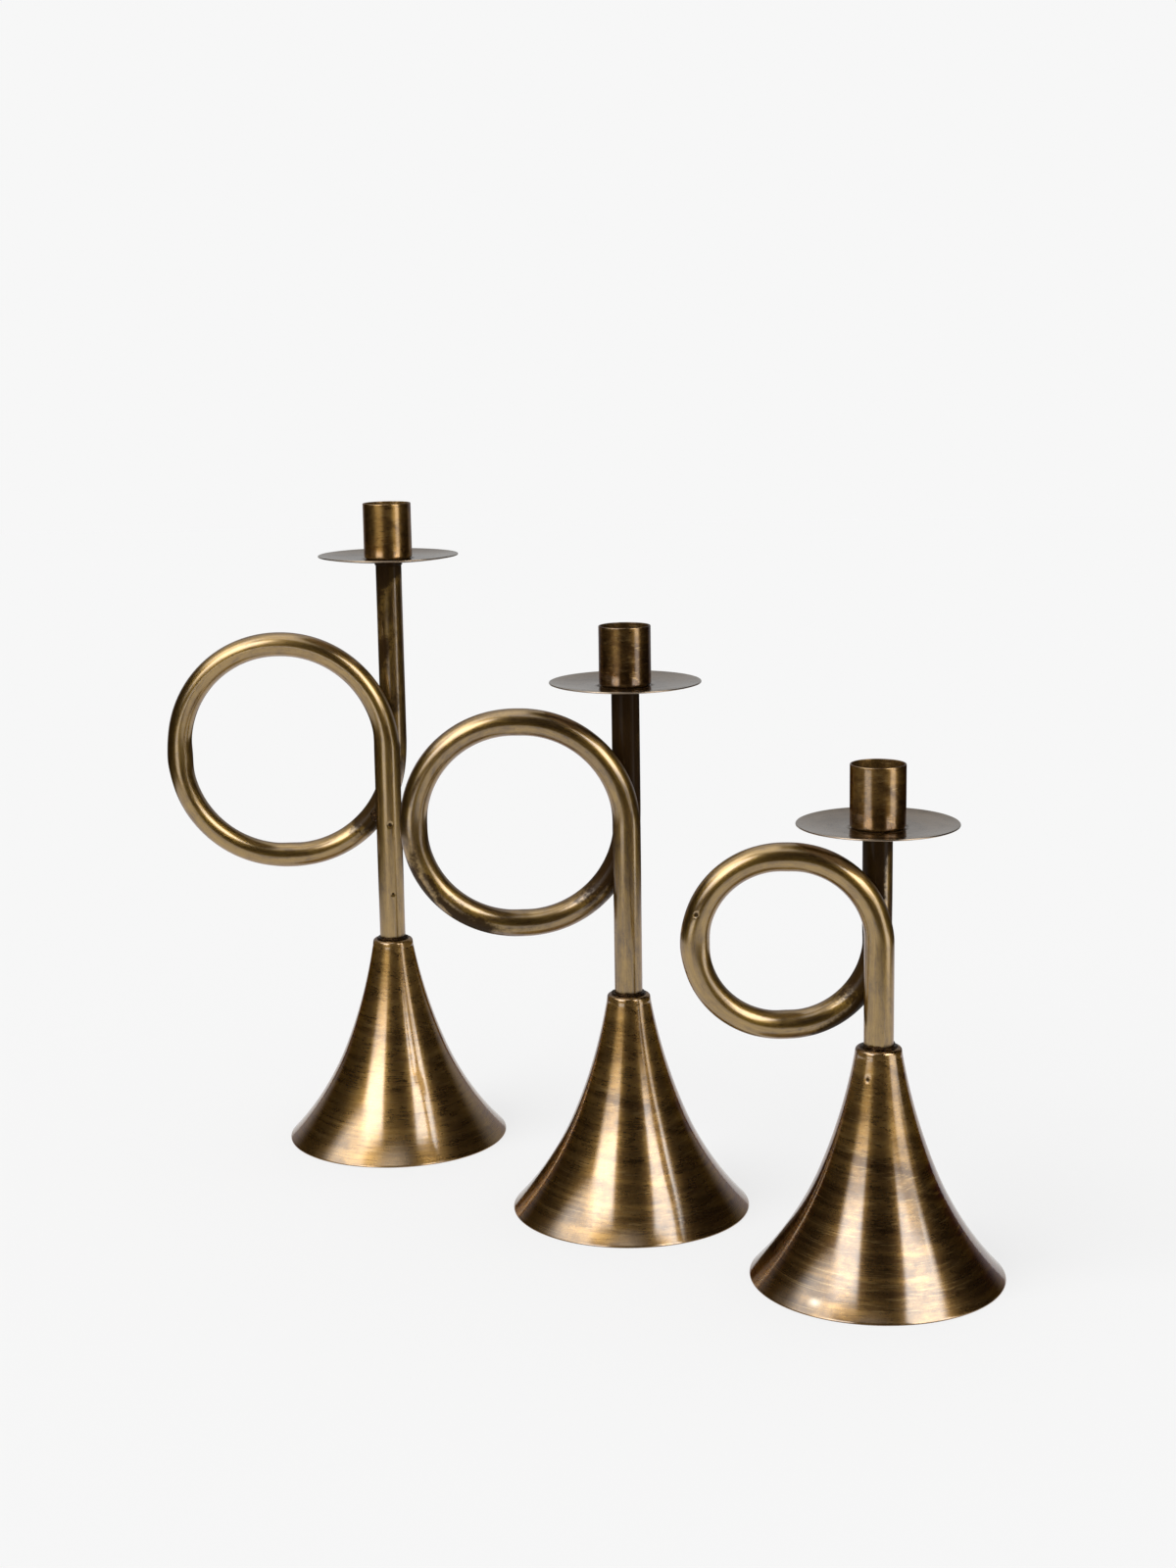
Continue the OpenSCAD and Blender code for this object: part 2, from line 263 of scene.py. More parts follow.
def ball(tilt, turn):
    """Unit vectors over a ball: (sin tilt cos turn, sin tilt sin turn, cos tilt)."""
    return np.stack([np.sin(tilt) * np.cos(turn), np.sin(tilt) * np.sin(turn),
                     np.cos(tilt) + 0 * turn], -1)


def place_object(name, data):
    """Puts a mesh, lamp or camera into the scene, at the origin."""
    thing = bpy.data.objects.new(name, data)
    bpy.context.scene.collection.objects.link(thing)
    return thing


def mesh_piece(holder, kind, points, faces, material, **fields):
    """Makes a piece that rides on the body in place of its CAD node.

    Each field holds a vector for every point, under its own name.
    """
    mesh = bpy.data.meshes.new(holder.node(kind))
    mesh.from_pydata(points, [], faces)
    mesh.polygons.foreach_set("use_smooth", np.ones(len(faces), bool))
    for field, values in fields.items():
        mesh.attributes.new(field, "FLOAT_VECTOR", "POINT").data.foreach_set("vector", values.ravel())
    mesh.materials.append(material)
    mesh.update()
    piece = place_object(holder.node(kind), mesh)
    part, slot = PARTS[kind]
    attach(piece, BODY)
    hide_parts(holder.node(part))
    return piece


def grid_piece(holder, kind, grid, grain, patina, material):
    """Makes a piece of a closed grid of points, with rows along the piece and columns round it.

    grain holds each point's place along and round the piece, and along the direction in which the
    rows run, which brushed highlights are drawn out in. patina holds three shares for each point:
    the blackening and painted shade, the stain, and a painted glint.
    """
    points = grid.reshape(-1, 3)
    quads = outward(points, grid_quads(*grid.shape[:2], True))
    along = np.roll(grid, -1, 0) - np.roll(grid, 1, 0)
    along /= np.linalg.norm(along, axis=-1)[..., None] + 1e-12
    return mesh_piece(holder, kind, points, quads, material, grain=grain, along=along, patina=patina)


def rings(axis, radius, height, turn):
    """Circles round an upright axis: x = axis x + radius cos(turn), y = axis y + radius sin(turn)."""
    return np.stack([axis[0] + radius * np.cos(turn), axis[1] + radius * np.sin(turn),
                     height + 0 * turn], -1)


# Radius of the circle that the grain runs round, whatever the piece's own radius
GRAIN_R = 0.02


def round_grain(length, turn):
    """The grain of a round piece: its length in x, and in y and z a circle of one fixed radius, so
    that a pattern on it has no seam."""
    return np.stack([length + 0 * turn, GRAIN_R * np.cos(turn) + 0 * length,
                     GRAIN_R * np.sin(turn) + 0 * length], -1)


def turned(profile, axis, segments):
    """A closed profile of (radius, height) points turned round an upright axis, with its grain."""
    turn = np.linspace(0, FULL_TURN, segments, endpoint=False)
    length = np.concatenate([[0], np.cumsum(np.linalg.norm(np.diff(profile, axis=0), axis=1))])
    points = rings(axis, profile[:, :1], profile[:, 1:], turn)
    return points, round_grain(length[:, None], turn), turn


def way_round(radius, turn, at_turn):
    """Distance round a piece from one turn to another, by the shorter way, with its sign."""
    return radius * np.angle(np.exp(1j * (turn - at_turn)))


def patina_and_painted_light(shape, soot_and_shade=0.0, stain=0.0, rubbed=0.0):
    """The three shares over a whole grid, each held between 0 and 1: blackening with painted shade, stain,
    and a painted glint.
    """
    shares = [np.clip(share + np.zeros(shape), 0, 1) for share in (soot_and_shade, stain, rubbed)]
    return np.stack(shares, -1)


def arc(centre, radius, start, end, count):
    """Points on a circle in the profile's plane, from one angle to another, in radians."""
    angle = np.linspace(start, end, count)
    return np.stack([centre[0] + radius * np.cos(angle), centre[1] + radius * np.sin(angle)], -1)


def line(start, end, count):
    """Evenly spaced points from start up to but not including end."""
    share = np.linspace(0, 1, count, endpoint=False)[:, None]
    return np.array(start) * (1 - share) + np.array(end) * share


def waves(u, v, seed, count, reach):
    """A smooth random field between about -1 and 1: a sum of plane waves in u and v.

    reach is the largest wave number; the directions and phases come from the seed.
    """
    draw = np.random.default_rng(seed)
    total = np.zeros(np.broadcast(u, v).shape)
    for _ in range(count):
        in_u, in_v = draw.integers(-reach, reach + 1, 2)
        total += np.cos(in_u * u + in_v * v + draw.uniform(0, FULL_TURN))
    return total / math.sqrt(count)


def hump(x, centre, width):
    """A bell-shaped curve, 1 at the centre: exp(-((x - centre) / width) squared)."""
    return np.exp(-((x - centre) / width) ** 2)


# The bell

def normal_at(angle):
    """Outward normal, in the profile's plane, of a wall that leans by the angle from the vertical."""
    return np.array([math.cos(angle), math.sin(angle)])


def tangent_at(angle):
    """Direction up the same wall."""
    return np.array([-math.sin(angle), math.cos(angle)])


class Flare:
    """The bell's outer line from its foot to its neck: two arcs that meet with one tangent.

    The joint between the arcs is where both tangents, each drawn the same length from its end,
    meet in one straight line, which leaves one quadratic to solve for that length.
    """

    def __init__(self, holder, sizes):
        lean_foot, lean_neck = sizes.foot_angle, sizes.neck_angle
        foot = np.array([holder.bell_r, 0.0])
        neck_z = holder.bell_top - sizes.shoulder_r * (1 - math.sin(lean_neck))
        neck = np.array([sizes.neck_d / 2, neck_z])
        span = neck - foot
        tangents = tangent_at(lean_foot) + tangent_at(lean_neck)
        square = 2 * (1 - tangent_at(lean_foot) @ tangent_at(lean_neck))
        along = span @ tangents
        reach = (math.sqrt(along ** 2 + square * (span @ span)) - along) / square
        join = (foot + neck + reach * (tangent_at(lean_foot) - tangent_at(lean_neck))) / 2
        self.low_r = self.radius(foot, join, normal_at(lean_foot))
        self.low_centre = foot + self.low_r * normal_at(lean_foot)
        self.high_r = self.radius(neck, join, normal_at(lean_neck))
        self.high_centre = neck + self.high_r * normal_at(lean_neck)
        at_join = (self.low_centre - join) / self.low_r
        self.join_lean = math.atan2(at_join[1], at_join[0])
        self.neck_lean = lean_neck

    @staticmethod
    def radius(start, end, normal):
        """Radius of the arc that leaves start square to the normal and passes through end."""
        chord = end - start
        return (chord @ chord) / (2 * (normal @ chord))

    def foot_lean(self, inset, height):
        """Lean of the wall, at a depth inside the outer line, where it stands at a height."""
        return math.asin((self.low_centre[1] - height) / (self.low_r + inset))

    def wall(self, inset, foot_lean, low_count, high_count):
        """Points up the wall at a depth inside the outer line, from the foot to the neck."""
        low = arc(self.low_centre, -(self.low_r + inset), foot_lean, self.join_lean, low_count)
        high = arc(self.high_centre, -(self.high_r + inset), self.join_lean, self.neck_lean, high_count)
        return np.concatenate([low[:-1], high])


# The gap between the tube and the bell's hole, and the radius of the foot's edge as a share of the wall
HOLE_GAP, FOOT_EDGE = 0.15 * MM, 0.4

# The pitch and depth of the faint rings left by the spinner's roller, and the depth of the waves
RING_PITCH, RING_DEPTH, WAVE_DEPTH = 3.1 * MM, 0.006 * MM, 0.09 * MM

# How stained each bell is, from the tall one to the short: all over, and more in a band, which is
# given by its height and half width
BELL_STAINS = ((0.25, 0.0), (0.4, 0.15), (0.4, 0.45))
STAIN_BAND = (32 * MM, 30 * MM)

# Small dents in the bells' skin: holder, height, turn round the axis, half width, half height, depth,
# how black the dent is, and how strongly its glint is painted on as a pale spot
DENTS = (
    ("short", 0.0925, -2.09, 0.0009, 0.0009, 0.0004, 1.0, 0.0),
    ("short", 0.005, -2.22, 0.0036, 0.0019, 0.0003, 0.0, 0.5),
)


def bell_profile(holder, sizes):
    """The bell's outline, as its outer skin, its lip and its inside.

    The flare's outer line stands on a rounded foot, and the inside is the same line one wall in.
    At the top the sheet is turned over in a narrow lip round a groove, which holds the braze.
    """
    flare = Flare(holder, sizes)
    wall = sizes.bell_wall
    edge_r = wall * FOOT_EDGE
    hole_r, neck_r = sizes.tube_d / 2 + HOLE_GAP, sizes.neck_d / 2
    top, groove = holder.bell_top, holder.bell_top - sizes.groove_depth
    outer_foot, inner_foot = flare.foot_lean(edge_r, edge_r), flare.foot_lean(wall, 0)
    edge_centre = flare.low_centre - (flare.low_r + edge_r) * normal_at(outer_foot)
    wall_line = flare.wall(0, outer_foot, 90, 70)
    corner_r = wall_line[-1][0] - (top - wall_line[-1][1]) * math.tan(flare.neck_lean)
    inner_corner_r = corner_r - sizes.lip_w
    lip = outline([
        (wall_line[-2], 0),
        ((corner_r, top), sizes.lip_r),
        ((inner_corner_r, top), 0.35 * MM),
        ((inner_corner_r - 0.2 * MM, groove), 0.2 * MM),
        ((hole_r, groove), 0),
        ((hole_r, groove - wall), 0),
    ], 0.4 * MM)[1:-1]
    skin = np.concatenate([arc(edge_centre, edge_r, -math.pi / 2, outer_foot, 7)[:-1], wall_line[:-1]])
    inside = np.concatenate([
        line((hole_r, groove - wall), (neck_r - 1.2 * wall, groove - wall), 4),
        flare.wall(wall, inner_foot, 26, 18)[::-1][2:],
    ])
    return flare, skin, lip, inside


def bell_piece(holder, sizes, material):
    """A spun bell: its outline turned round the stem's axis.

    The spinner's rings and a few shallow waves move the outer skin inwards along its normal by a
    cosine of the length up the wall and of the turn, and each dent by a bell-shaped curve.
    """
    flare, skin, lip, inside = bell_profile(holder, sizes)
    profile = np.concatenate([skin, lip, inside])
    points, grain, turn = turned(profile, holder.stem, 256)
    outer = slice(len(skin))
    length = grain[outer, :1, 0]
    radius, height = skin[:, :1], skin[:, 1:]
    fade = np.clip((height - sizes.bell_wall * FOOT_EDGE) / (6 * MM), 0, 1)
    fade = fade * np.clip((flare.high_centre[1] - height) / (8 * MM), 0, 1)
    seed = 11 + holder.index
    grooves = 0.5 + 0.5 * np.cos(length / RING_PITCH * FULL_TURN + waves(turn, 0 * turn, seed, 4, 2))
    dips = 0.5 + 0.25 * waves(turn, length / holder.bell_top * FULL_TURN / 2, seed + 7, 9, 3)
    press = fade * (RING_DEPTH * grooves + WAVE_DEPTH * dips)
    dark, painted_glint = np.zeros((2, *points.shape[:2]))
    for name, at_height, at_turn, half_width, half_height, depth, filled, rubbed in DENTS:
        if name == holder.name:
            across = way_round(radius, turn, at_turn)
            dent = hump(across, 0, half_width) * hump(height, at_height, half_height)
            press = press + depth * dent
            dark[outer] += filled * dent
            # The dent's glint is painted on: a pale spot, strongest in its middle
            painted_glint[outer] += rubbed * dent ** 2
    slope = np.gradient(skin, axis=0)
    normal = np.stack([slope[:, 1], -slope[:, 0]], -1)
    normal /= np.linalg.norm(normal, axis=1)[:, None]
    move = press[..., None] * normal[:, None, :]
    points[outer] -= np.stack([move[..., 0] * np.cos(turn), move[..., 0] * np.sin(turn), move[..., 1]], -1)
    groove = holder.bell_top - sizes.groove_depth
    hole_r = sizes.tube_d / 2 + HOLE_GAP
    soot_and_shade = 1.2 * hump(profile[:, 0], hole_r, 2.4 * MM) * hump(profile[:, 1], groove, 1.2 * MM)
    # The bell's inside is darker all over
    soot_and_shade[-len(inside):] += 0.6
    clean, banded = BELL_STAINS[holder.index]
    stain = (clean + banded * hump(profile[:, 1], *STAIN_BAND))[:, None]
    patina = patina_and_painted_light(points.shape[:2], soot_and_shade[:, None] + dark, stain, painted_glint)
    return grid_piece(holder, "bell", points, grain, patina, material)


# The tube

def loop_steps(holder, sizes):
    """The bender's list for one holder: up, over to the left, down, and back behind the lower stem.

    A step is ("straight", length), ("bend", radius, angle) or ("twist", angle of the bending plane).
    Both halves of the loop are swung round the vertical, so that the strands pass side by side.
    """
    loop_w, loop_h = sizes.loop_w[holder.index], sizes.loop_h[holder.index]
    bend_r, loop_z = sizes.bend_r[holder.index], sizes.loop_z[holder.index]
    side_step, back_step = holder.head - holder.stem
    out_swing = math.atan2(back_step / 2, loop_w)
    out_reach = math.hypot(loop_w, back_step / 2)
    home_swing = math.atan2(back_step / 2, loop_w + side_step)
    home_reach = math.hypot(loop_w + side_step, back_step / 2)
    side = loop_h - 2 * bend_r
    quarter = math.pi / 2
    return [
        ("straight", loop_z + side / 2 - holder.tube_foot),
        ("twist", -out_swing),
        ("bend", bend_r, quarter),
        ("straight", out_reach - 2 * bend_r),
        ("bend", bend_r, quarter),
        ("straight", side),
        ("twist", -(out_swing + home_swing)),
        ("bend", bend_r, quarter),
        ("straight", home_reach - 2 * bend_r),
        ("bend", bend_r, quarter),
        ("straight", holder.tube_top - (loop_z - side / 2)),
    ]


# How near a twist the tube stays round, and the length over which a bend's flattening fades in
TWIST_REACH, BEND_REACH = 5 * MM, 9 * MM


class TubePath:
    """The centre line of a bent tube, as rings: place, frame of the bend, twist and length so far.

    A straight goes on along the frame's third axis. A bend turns the third axis away from the
    first about the second: place = centre + radius (first cos + third sin). A twist turns the
    first two axes about the third, and is kept apart so that the rings themselves don't turn. The
    bend's flattening fades out at each twist.
    """

    def __init__(self, start, steps, spacing):
        place, axes, twist, length = np.array(start, float), np.eye(3), 0.0, 0.0
        rows, twists = [], []
        for kind, *amount in steps:
            if kind == "twist":
                twists.append(length)
                c, s = math.cos(amount[0]), math.sin(amount[0])
                axes = np.array([c * axes[0] + s * axes[1], c * axes[1] - s * axes[0], axes[2]])
                twist += amount[0]
                continue
            run = amount[0] if kind == "straight" else amount[0] * amount[1]
            share = np.linspace(0, 1, max(2, int(run / spacing) + 1))[:, None]
            if kind == "straight":
                places = place + share * run * axes[2]
                firsts = axes[0] + 0 * share
            else:
                radius, angle = amount
                centre = place - radius * axes[0]
                firsts = np.cos(share * angle) * axes[0] + np.sin(share * angle) * axes[2]
                places = centre + radius * firsts
                third = np.cos(angle) * axes[2] - np.sin(angle) * axes[0]
                axes = np.array([firsts[-1], axes[1], third])
            seconds = axes[1] + 0 * share
            bent = np.full_like(share, float(kind == "bend"))
            rows.append(np.concatenate(
                [places, firsts, seconds, twist + 0 * share, length + share * run, bent], 1)[:-1])
            place, length = places[-1], length + run
        last = np.concatenate([place, axes[0], axes[1], [twist, length, 0.0]])
        table = np.concatenate(rows + [last[None]])
        self.place, self.first, self.second = table[:, 0:3], table[:, 3:6], table[:, 6:9]
        self.twist, self.length = table[:, 9], table[:, 10]
        home = len(self.length) // 2 + np.argmin(self.place[len(self.length) // 2:, 2])
        self.lowest_home, self.lowest_home_length = self.place[home, 2], self.length[home]
        near_twist = np.abs(self.length[:, None] - np.array(twists)).min(1) < TWIST_REACH
        self.bent = self.smoothed(np.where(near_twist, 0.0, table[:, 11]), int(BEND_REACH / spacing))

    @staticmethod
    def smoothed(values, reach):
        """A moving average over a few rings, which fades the bend's flattening in and out."""
        window = np.hanning(2 * reach + 1)
        padded = np.pad(values, reach, mode="edge")
        return np.convolve(padded, window / window.sum(), mode="valid")

    def section(self, radius, turn, flat, rows=slice(None)):
        """Rings round the path: an ellipse, narrower in the plane of the bend and wider across."""
        turn = turn[None, :] - self.twist[rows, None]
        narrow = (radius * (1 - flat * self.bent[rows]))[:, None]
        wide = (radius * (1 + 0.3 * flat * self.bent[rows]))[:, None]
        across = narrow * np.cos(turn)
        along = wide * np.sin(turn)
        return (self.place[rows, None] + across[..., None] * self.first[rows, None]
                + along[..., None] * self.second[rows, None])


# Spacing of the tube's rings, how many of them go to one ring of its inner skin, and the depth of
# the ripples
RING_SPACING, INNER_STEP, RIPPLE = 0.55 * MM, 6, 0.012 * MM

# Small pits in the tube's skin: holder, length up the tube, turn round it, radius and depth
PITS = (
    ("tall", 0.0685, -1.42, 0.0011, 0.0006),
    ("tall", 0.0325, -1.35, 0.0007, 0.0004),
    ("short", 0.1625, -1.37, 0.001, 0.0004),
)


def tube_piece(holder, sizes, material):
    """The looped tube: its outer skin, and one wall inside it a coarser inner skin, joined at both ends.

    Ripples press the skin in a little. A pit presses it in by exp(-(distance / radius) to the
    fourth), with the distance taken on the unrolled surface.
    """
    radius = sizes.tube_d / 2
    flat = sizes.loop_flat[holder.index]
    path = TubePath((*holder.stem, holder.tube_foot), loop_steps(holder, sizes), RING_SPACING)
    turn = np.linspace(0, FULL_TURN, 72, endpoint=False)
    up = path.length[:, None]
    skin = path.section(radius, turn, flat)
    normal = skin - path.place[:, None]
    normal /= np.linalg.norm(normal, axis=2)[..., None]
    soot_and_shade, stain = tube_patina(holder, path, turn)
    press = np.maximum(RIPPLE * waves(up / 0.05, turn[None, :], 31 + holder.index, 10, 4), 0)
    for name, at_length, at_turn, pit_r, depth in PITS:
        if name == holder.name:
            away = np.hypot(up - at_length, way_round(radius, turn, at_turn))
            pit = np.exp(-(away / pit_r) ** 4)
            press = press + depth * pit
            soot_and_shade = np.maximum(soot_and_shade, pit)
    skin = skin - press[..., None] * normal
    inner_rows = np.arange(len(up) - 1, -1, -INNER_STEP)
    if inner_rows[-1] != 0:
        inner_rows = np.append(inner_rows, 0)
    inner = path.section(radius - sizes.tube_wall, turn, flat, inner_rows)
    points = np.concatenate([skin, inner])
    grain = round_grain(np.concatenate([up, up[inner_rows]]), turn)
    # The inner skin is darker all over
    patina = np.concatenate([patina_and_painted_light(skin.shape[:2], soot_and_shade, stain), patina_and_painted_light(inner.shape[:2], 0.8)])
    return grid_piece(holder, "tube", points, grain, patina, material)


# How stained each tube is, from the tall one to the short: all over, and more on the upper stem
TUBE_STAINS = ((0.3, 0.3), (0.5, 0.5), (0.35, 0.4))


def tube_patina(holder, path, turn):
    """Soot, stain and painted shade on the tube, ring by ring.

    Soot lies at the braze and under the collar, and the torch has blackened the upper stem: in
    slanting bands on the tall holder, where it is also black round the tack, nearly all over on
    the middle one, and on the left half on the short one. Painted shade darkens the tall upper stem
    where it passes behind the loop, adds to the blackening round the tack, and darkens the short
    upper stem's left half beside the loop. The short loop is also darker on its lower outer side
    near the lower stem. The middle loop is sooty at its outer lower left. The turn's cosine is 1 on
    the loop's outer side, and on a stem's right side.
    """
    up = path.length[:, None]
    end = path.length[-1]
    side = np.cos(turn)[None, :]
    soot_and_shade = 0.95 * hump(up, holder.bell_top - holder.tube_foot, 2 * MM) + hump(up, end, 7 * MM)
    stem_start = end - (holder.tube_top - path.lowest_home) - 10 * MM
    upper_stem = np.clip((up - stem_start) / (35 * MM), 0, 1)
    if holder.name == "tall":
        bands = np.cos(up / (34 * MM) * FULL_TURN - 2.2 * side + 0.6)
        # Painted shade on the upper stem, where it passes behind the loop
        painted_crossing_shade = 0.3 * hump(up, stem_start + 50 * MM, 30 * MM)
        black = np.clip(0.2 + 0.16 * bands - 0.36 * side + painted_crossing_shade, 0, 0.65)
        # Round the tack: weld blackening, with painted shade where the back strand passes behind the lower
        # stem
        tack = np.mean(corners(holder.node("weld_tack")), axis=0)
        away = np.linalg.norm(path.place - tack, axis=1)[:, None]
        soot_and_shade = soot_and_shade + hump(away, 0, 11 * MM) * (up > end / 2)
    elif holder.name == "middle":
        black = np.clip(0.85 - 0.3 * side, 0, 1)
        lower_left = path.lowest_home_length - 34 * MM
        patches = 0.8 + 0.4 * waves(up / (12 * MM), 2 * turn[None, :], 5, 9, 3)
        soot_and_shade = soot_and_shade + 1.25 * hump(up, lower_left, 30 * MM) * np.clip(0.95 + 1.3 * side, 0, 1) * patches
    else:
        # Left half of the upper stem: torch blackening, with painted shade beside the loop
        black = np.clip(0.55 - 1.5 * side, 0.12, 1)
        # The loop is darker on its lower outer side near the lower stem
        under_loop = path.lowest_home_length + 30 * MM
        soot_and_shade = soot_and_shade + 1.2 * hump(up, under_loop, 20 * MM) * np.clip(0.4 + 1.6 * side, 0, 1)
    all_over, more = TUBE_STAINS[holder.index]
    return soot_and_shade + black * upper_stem, all_over + more * upper_stem


# The pieces at the head and the braze

# Gaps round the screw's shank and the plug's spigot
SHANK_GAP, SPIGOT_GAP = 0.1 * MM, 0.15 * MM

# How far a pan's rim sags, how far a cup's lip is out of round, and how stained the cups are, from
# the tall one to the short
PAN_SAG, OUT_OF_ROUND = 0.12 * MM, 0.05 * MM
CUP_STAINS = (0.35, 0.85, 0.6)


def rounded(corner, before, after, radius, count=6):
    """A rounded corner of a profile: the arc that touches both lines that meet there.

    Its centre lies on the line midway between them, at radius / sin(half their angle) from the corner.
    """
    corner, before, after = (np.array(p, float) for p in (corner, before, after))
    to_before = (before - corner) / np.linalg.norm(before - corner)
    to_after = (after - corner) / np.linalg.norm(after - corner)
    half = math.acos(np.clip(to_before @ to_after, -1, 1)) / 2
    middle = (to_before + to_after) / np.linalg.norm(to_before + to_after)
    centre = corner + middle * radius / math.sin(half)
    start = corner + to_before * radius / math.tan(half) - centre
    end = corner + to_after * radius / math.tan(half) - centre
    share = np.linspace(0, 1, count)[:, None]
    swept = start * (1 - share) + end * share
    return centre + radius * swept / np.linalg.norm(swept, axis=1)[:, None]


def outline(corners_and_radii, step):
    """A closed profile from corners, each with the radius that rounds it, with points every step."""
    count = len(corners_and_radii)
    corners_only = [np.array(corner, float) for corner, _ in corners_and_radii]
    bends = []
    for k, (corner, radius) in enumerate(corners_and_radii):
        before, after = corners_only[k - 1], corners_only[(k + 1) % count]
        bends.append(rounded(corner, before, after, radius) if radius else np.array([corner], float))
    points = []
    for k, bend in enumerate(bends):
        points.append(bend)
        start, end = bend[-1], bends[(k + 1) % count][0]
        extra = int(np.linalg.norm(end - start) / step)
        if extra > 1:
            points.append(line(start, end, extra)[1:])
    return np.concatenate(points)


def sunk(sizes, depth):
    """Radius of the countersink for the screw at a depth below the cup's floor."""
    return max(sizes.screw_head_d / 2 + sizes.sink_gap - depth, sizes.screw_d / 2 + SHANK_GAP)


def plug_piece(holder, sizes, material):
    """The turned plug: a collar with broken edges over a spigot, drilled and countersunk."""
    spigot_r = sizes.tube_d / 2 - sizes.tube_wall - SPIGOT_GAP
    top_r, hole_r = sunk(sizes, sizes.cup_wall + sizes.pan_sheet), sunk(sizes, math.inf)
    edge = 0.25 * MM
    profile = outline([
        ((hole_r, holder.plug_foot), edge / 2),
        ((spigot_r, holder.plug_foot), edge),
        ((spigot_r, holder.tube_top), 0),
        ((holder.collar_r, holder.tube_top), edge),
        ((holder.collar_r, holder.pan_foot), edge),
        ((top_r, holder.pan_foot), 0),
        ((hole_r, holder.pan_foot - (top_r - hole_r)), 0),
    ], 1.5 * MM)
    points, grain, _ = turned(profile, holder.head, 96)
    return grid_piece(holder, "plug", points, grain, patina_and_painted_light(points.shape[:2], 0.7, 0.6), material)


def pan_piece(holder, sizes, material):
    """The dished pan: a flat seat, one arc up to a rounded rim, and the same one sheet below.

    The dish's radius is (run squared + depth squared) / (2 depth), which makes its arc leave the
    seat level. The rim sags in slow waves.
    """
    seat_r, sheet = sizes.pan_seat_d / 2, sizes.pan_sheet
    depth, run = holder.rim - holder.seat, holder.pan_r - seat_r
    dish_r = (run ** 2 + depth ** 2) / (2 * depth)
    centre = np.array([seat_r, holder.seat + dish_r])
    edge_r = sheet * 0.45
    rim_angle = math.asin((run - edge_r) / dish_r)
    down = -math.pi / 2
    top = arc(centre, dish_r, down, down + rim_angle, 60)
    below = arc(centre, dish_r + sheet, down, down + rim_angle * 0.985, 40)
    rim_centre = centre + (dish_r + sheet / 2) * np.array([math.sin(rim_angle), -math.cos(rim_angle)])
    rim = arc(rim_centre, edge_r, math.pi / 2 + rim_angle, rim_angle - math.pi / 2, 9)
    hole_top, hole_foot = sunk(sizes, sizes.cup_wall), sunk(sizes, sizes.cup_wall + sheet)
    profile = np.concatenate([
        line((hole_top, holder.seat), (seat_r, holder.seat), 12), top[:-1], rim, below[:-1][::-1],
        line((seat_r, holder.pan_foot), (hole_foot, holder.pan_foot), 8),
        [(hole_foot, holder.pan_foot)],
    ])
    points, grain, turn = turned(profile, holder.head, 224)
    radius = profile[:, :1]
    sag = 1 + 0.5 * waves(turn[None, :], radius / 0.03, 51 + holder.index, 7, 3)
    points[..., 2] -= np.clip((radius - seat_r) / run, 0, 1) ** 2 * PAN_SAG * sag
    # Painted shade: a dark ring round the cup's foot, where it stands on the pan
    soot_and_shade = 0.5 * hump(radius, holder.cup_r, 1.6 * MM)
    # An even stain, and the pan darker towards the cup
    stain = 0.3 + 0.9 * hump(radius, 0.8 * holder.cup_r, 9 * MM)
    return grid_piece(holder, "pan", points, grain, patina_and_painted_light(points.shape[:2], soot_and_shade, stain), material)


def cup_piece(holder, sizes, material):
    """The drawn cup: a straight wall with a rounded lip, and a rounded lower corner inside and out.

    Towards the lip it is pressed a little out of round, by a cosine of twice the turn.
    """
    wall = sizes.cup_wall
    inner_r, floor = holder.cup_r - wall, holder.seat + wall
    lip = wall * 0.42
    profile = outline([
        ((sunk(sizes, wall), holder.seat), 0),
        ((holder.cup_r, holder.seat), sizes.cup_corner_r),
        ((holder.cup_r, holder.cup_top), lip),
        ((inner_r, holder.cup_top), lip),
        ((inner_r, floor), sizes.cup_corner_r - wall),
        ((sunk(sizes, 0), floor), 0),
    ], 0.8 * MM)
    points, grain, turn = turned(profile, holder.head, 160)
    radius, height = profile[:, :1], profile[:, 1:]
    inside = (radius < holder.cup_r - wall / 2) & (height > holder.seat + wall / 2)
    up = np.clip((height - holder.seat) / (holder.cup_top - holder.seat), 0, 1)
    press = OUT_OF_ROUND * (1 + np.cos(2 * turn + 0.9 + holder.index)) * up
    points[..., 0] -= press * np.cos(turn)
    points[..., 1] -= press * np.sin(turn)
    # Painted shade: darker inside the cup, and more near its foot and floor, inside and out
    soot_and_shade = 0.4 * inside + 0.35 * hump(height, holder.seat, 2.5 * MM)
    patina = patina_and_painted_light(points.shape[:2], soot_and_shade, CUP_STAINS[holder.index])
    return grid_piece(holder, "cup", points, grain, patina, material)


def bead_piece(holder, sizes, material):
    """The braze round the tube's foot: a ring whose round section swells and shrinks in lumps."""
    turn = np.linspace(0, FULL_TURN, 144, endpoint=False)[None, :]
    section = np.linspace(0, FULL_TURN, 28, endpoint=False)[:, None]
    seed = 71 + holder.index
    size = sizes.bead_r * (0.9 + 0.3 * waves(turn, section, seed, 14, 7))
    middle_r = sizes.tube_d / 2 + 0.1 * MM + 0.1 * MM * waves(turn, 0 * turn, seed + 3, 5, 4)
    swell = 0.95 + 0.25 * waves(turn, 0 * turn, seed + 5, 9, 5)
    height = holder.bell_top + 0.1 * MM + size * swell * np.sin(section)
    points = rings(holder.stem, middle_r + size * np.cos(section), height, turn).reshape(-1, 3)
    quads = outward(points, grid_quads(*size.shape, True))
    return mesh_piece(holder, "braze", points, quads, material)


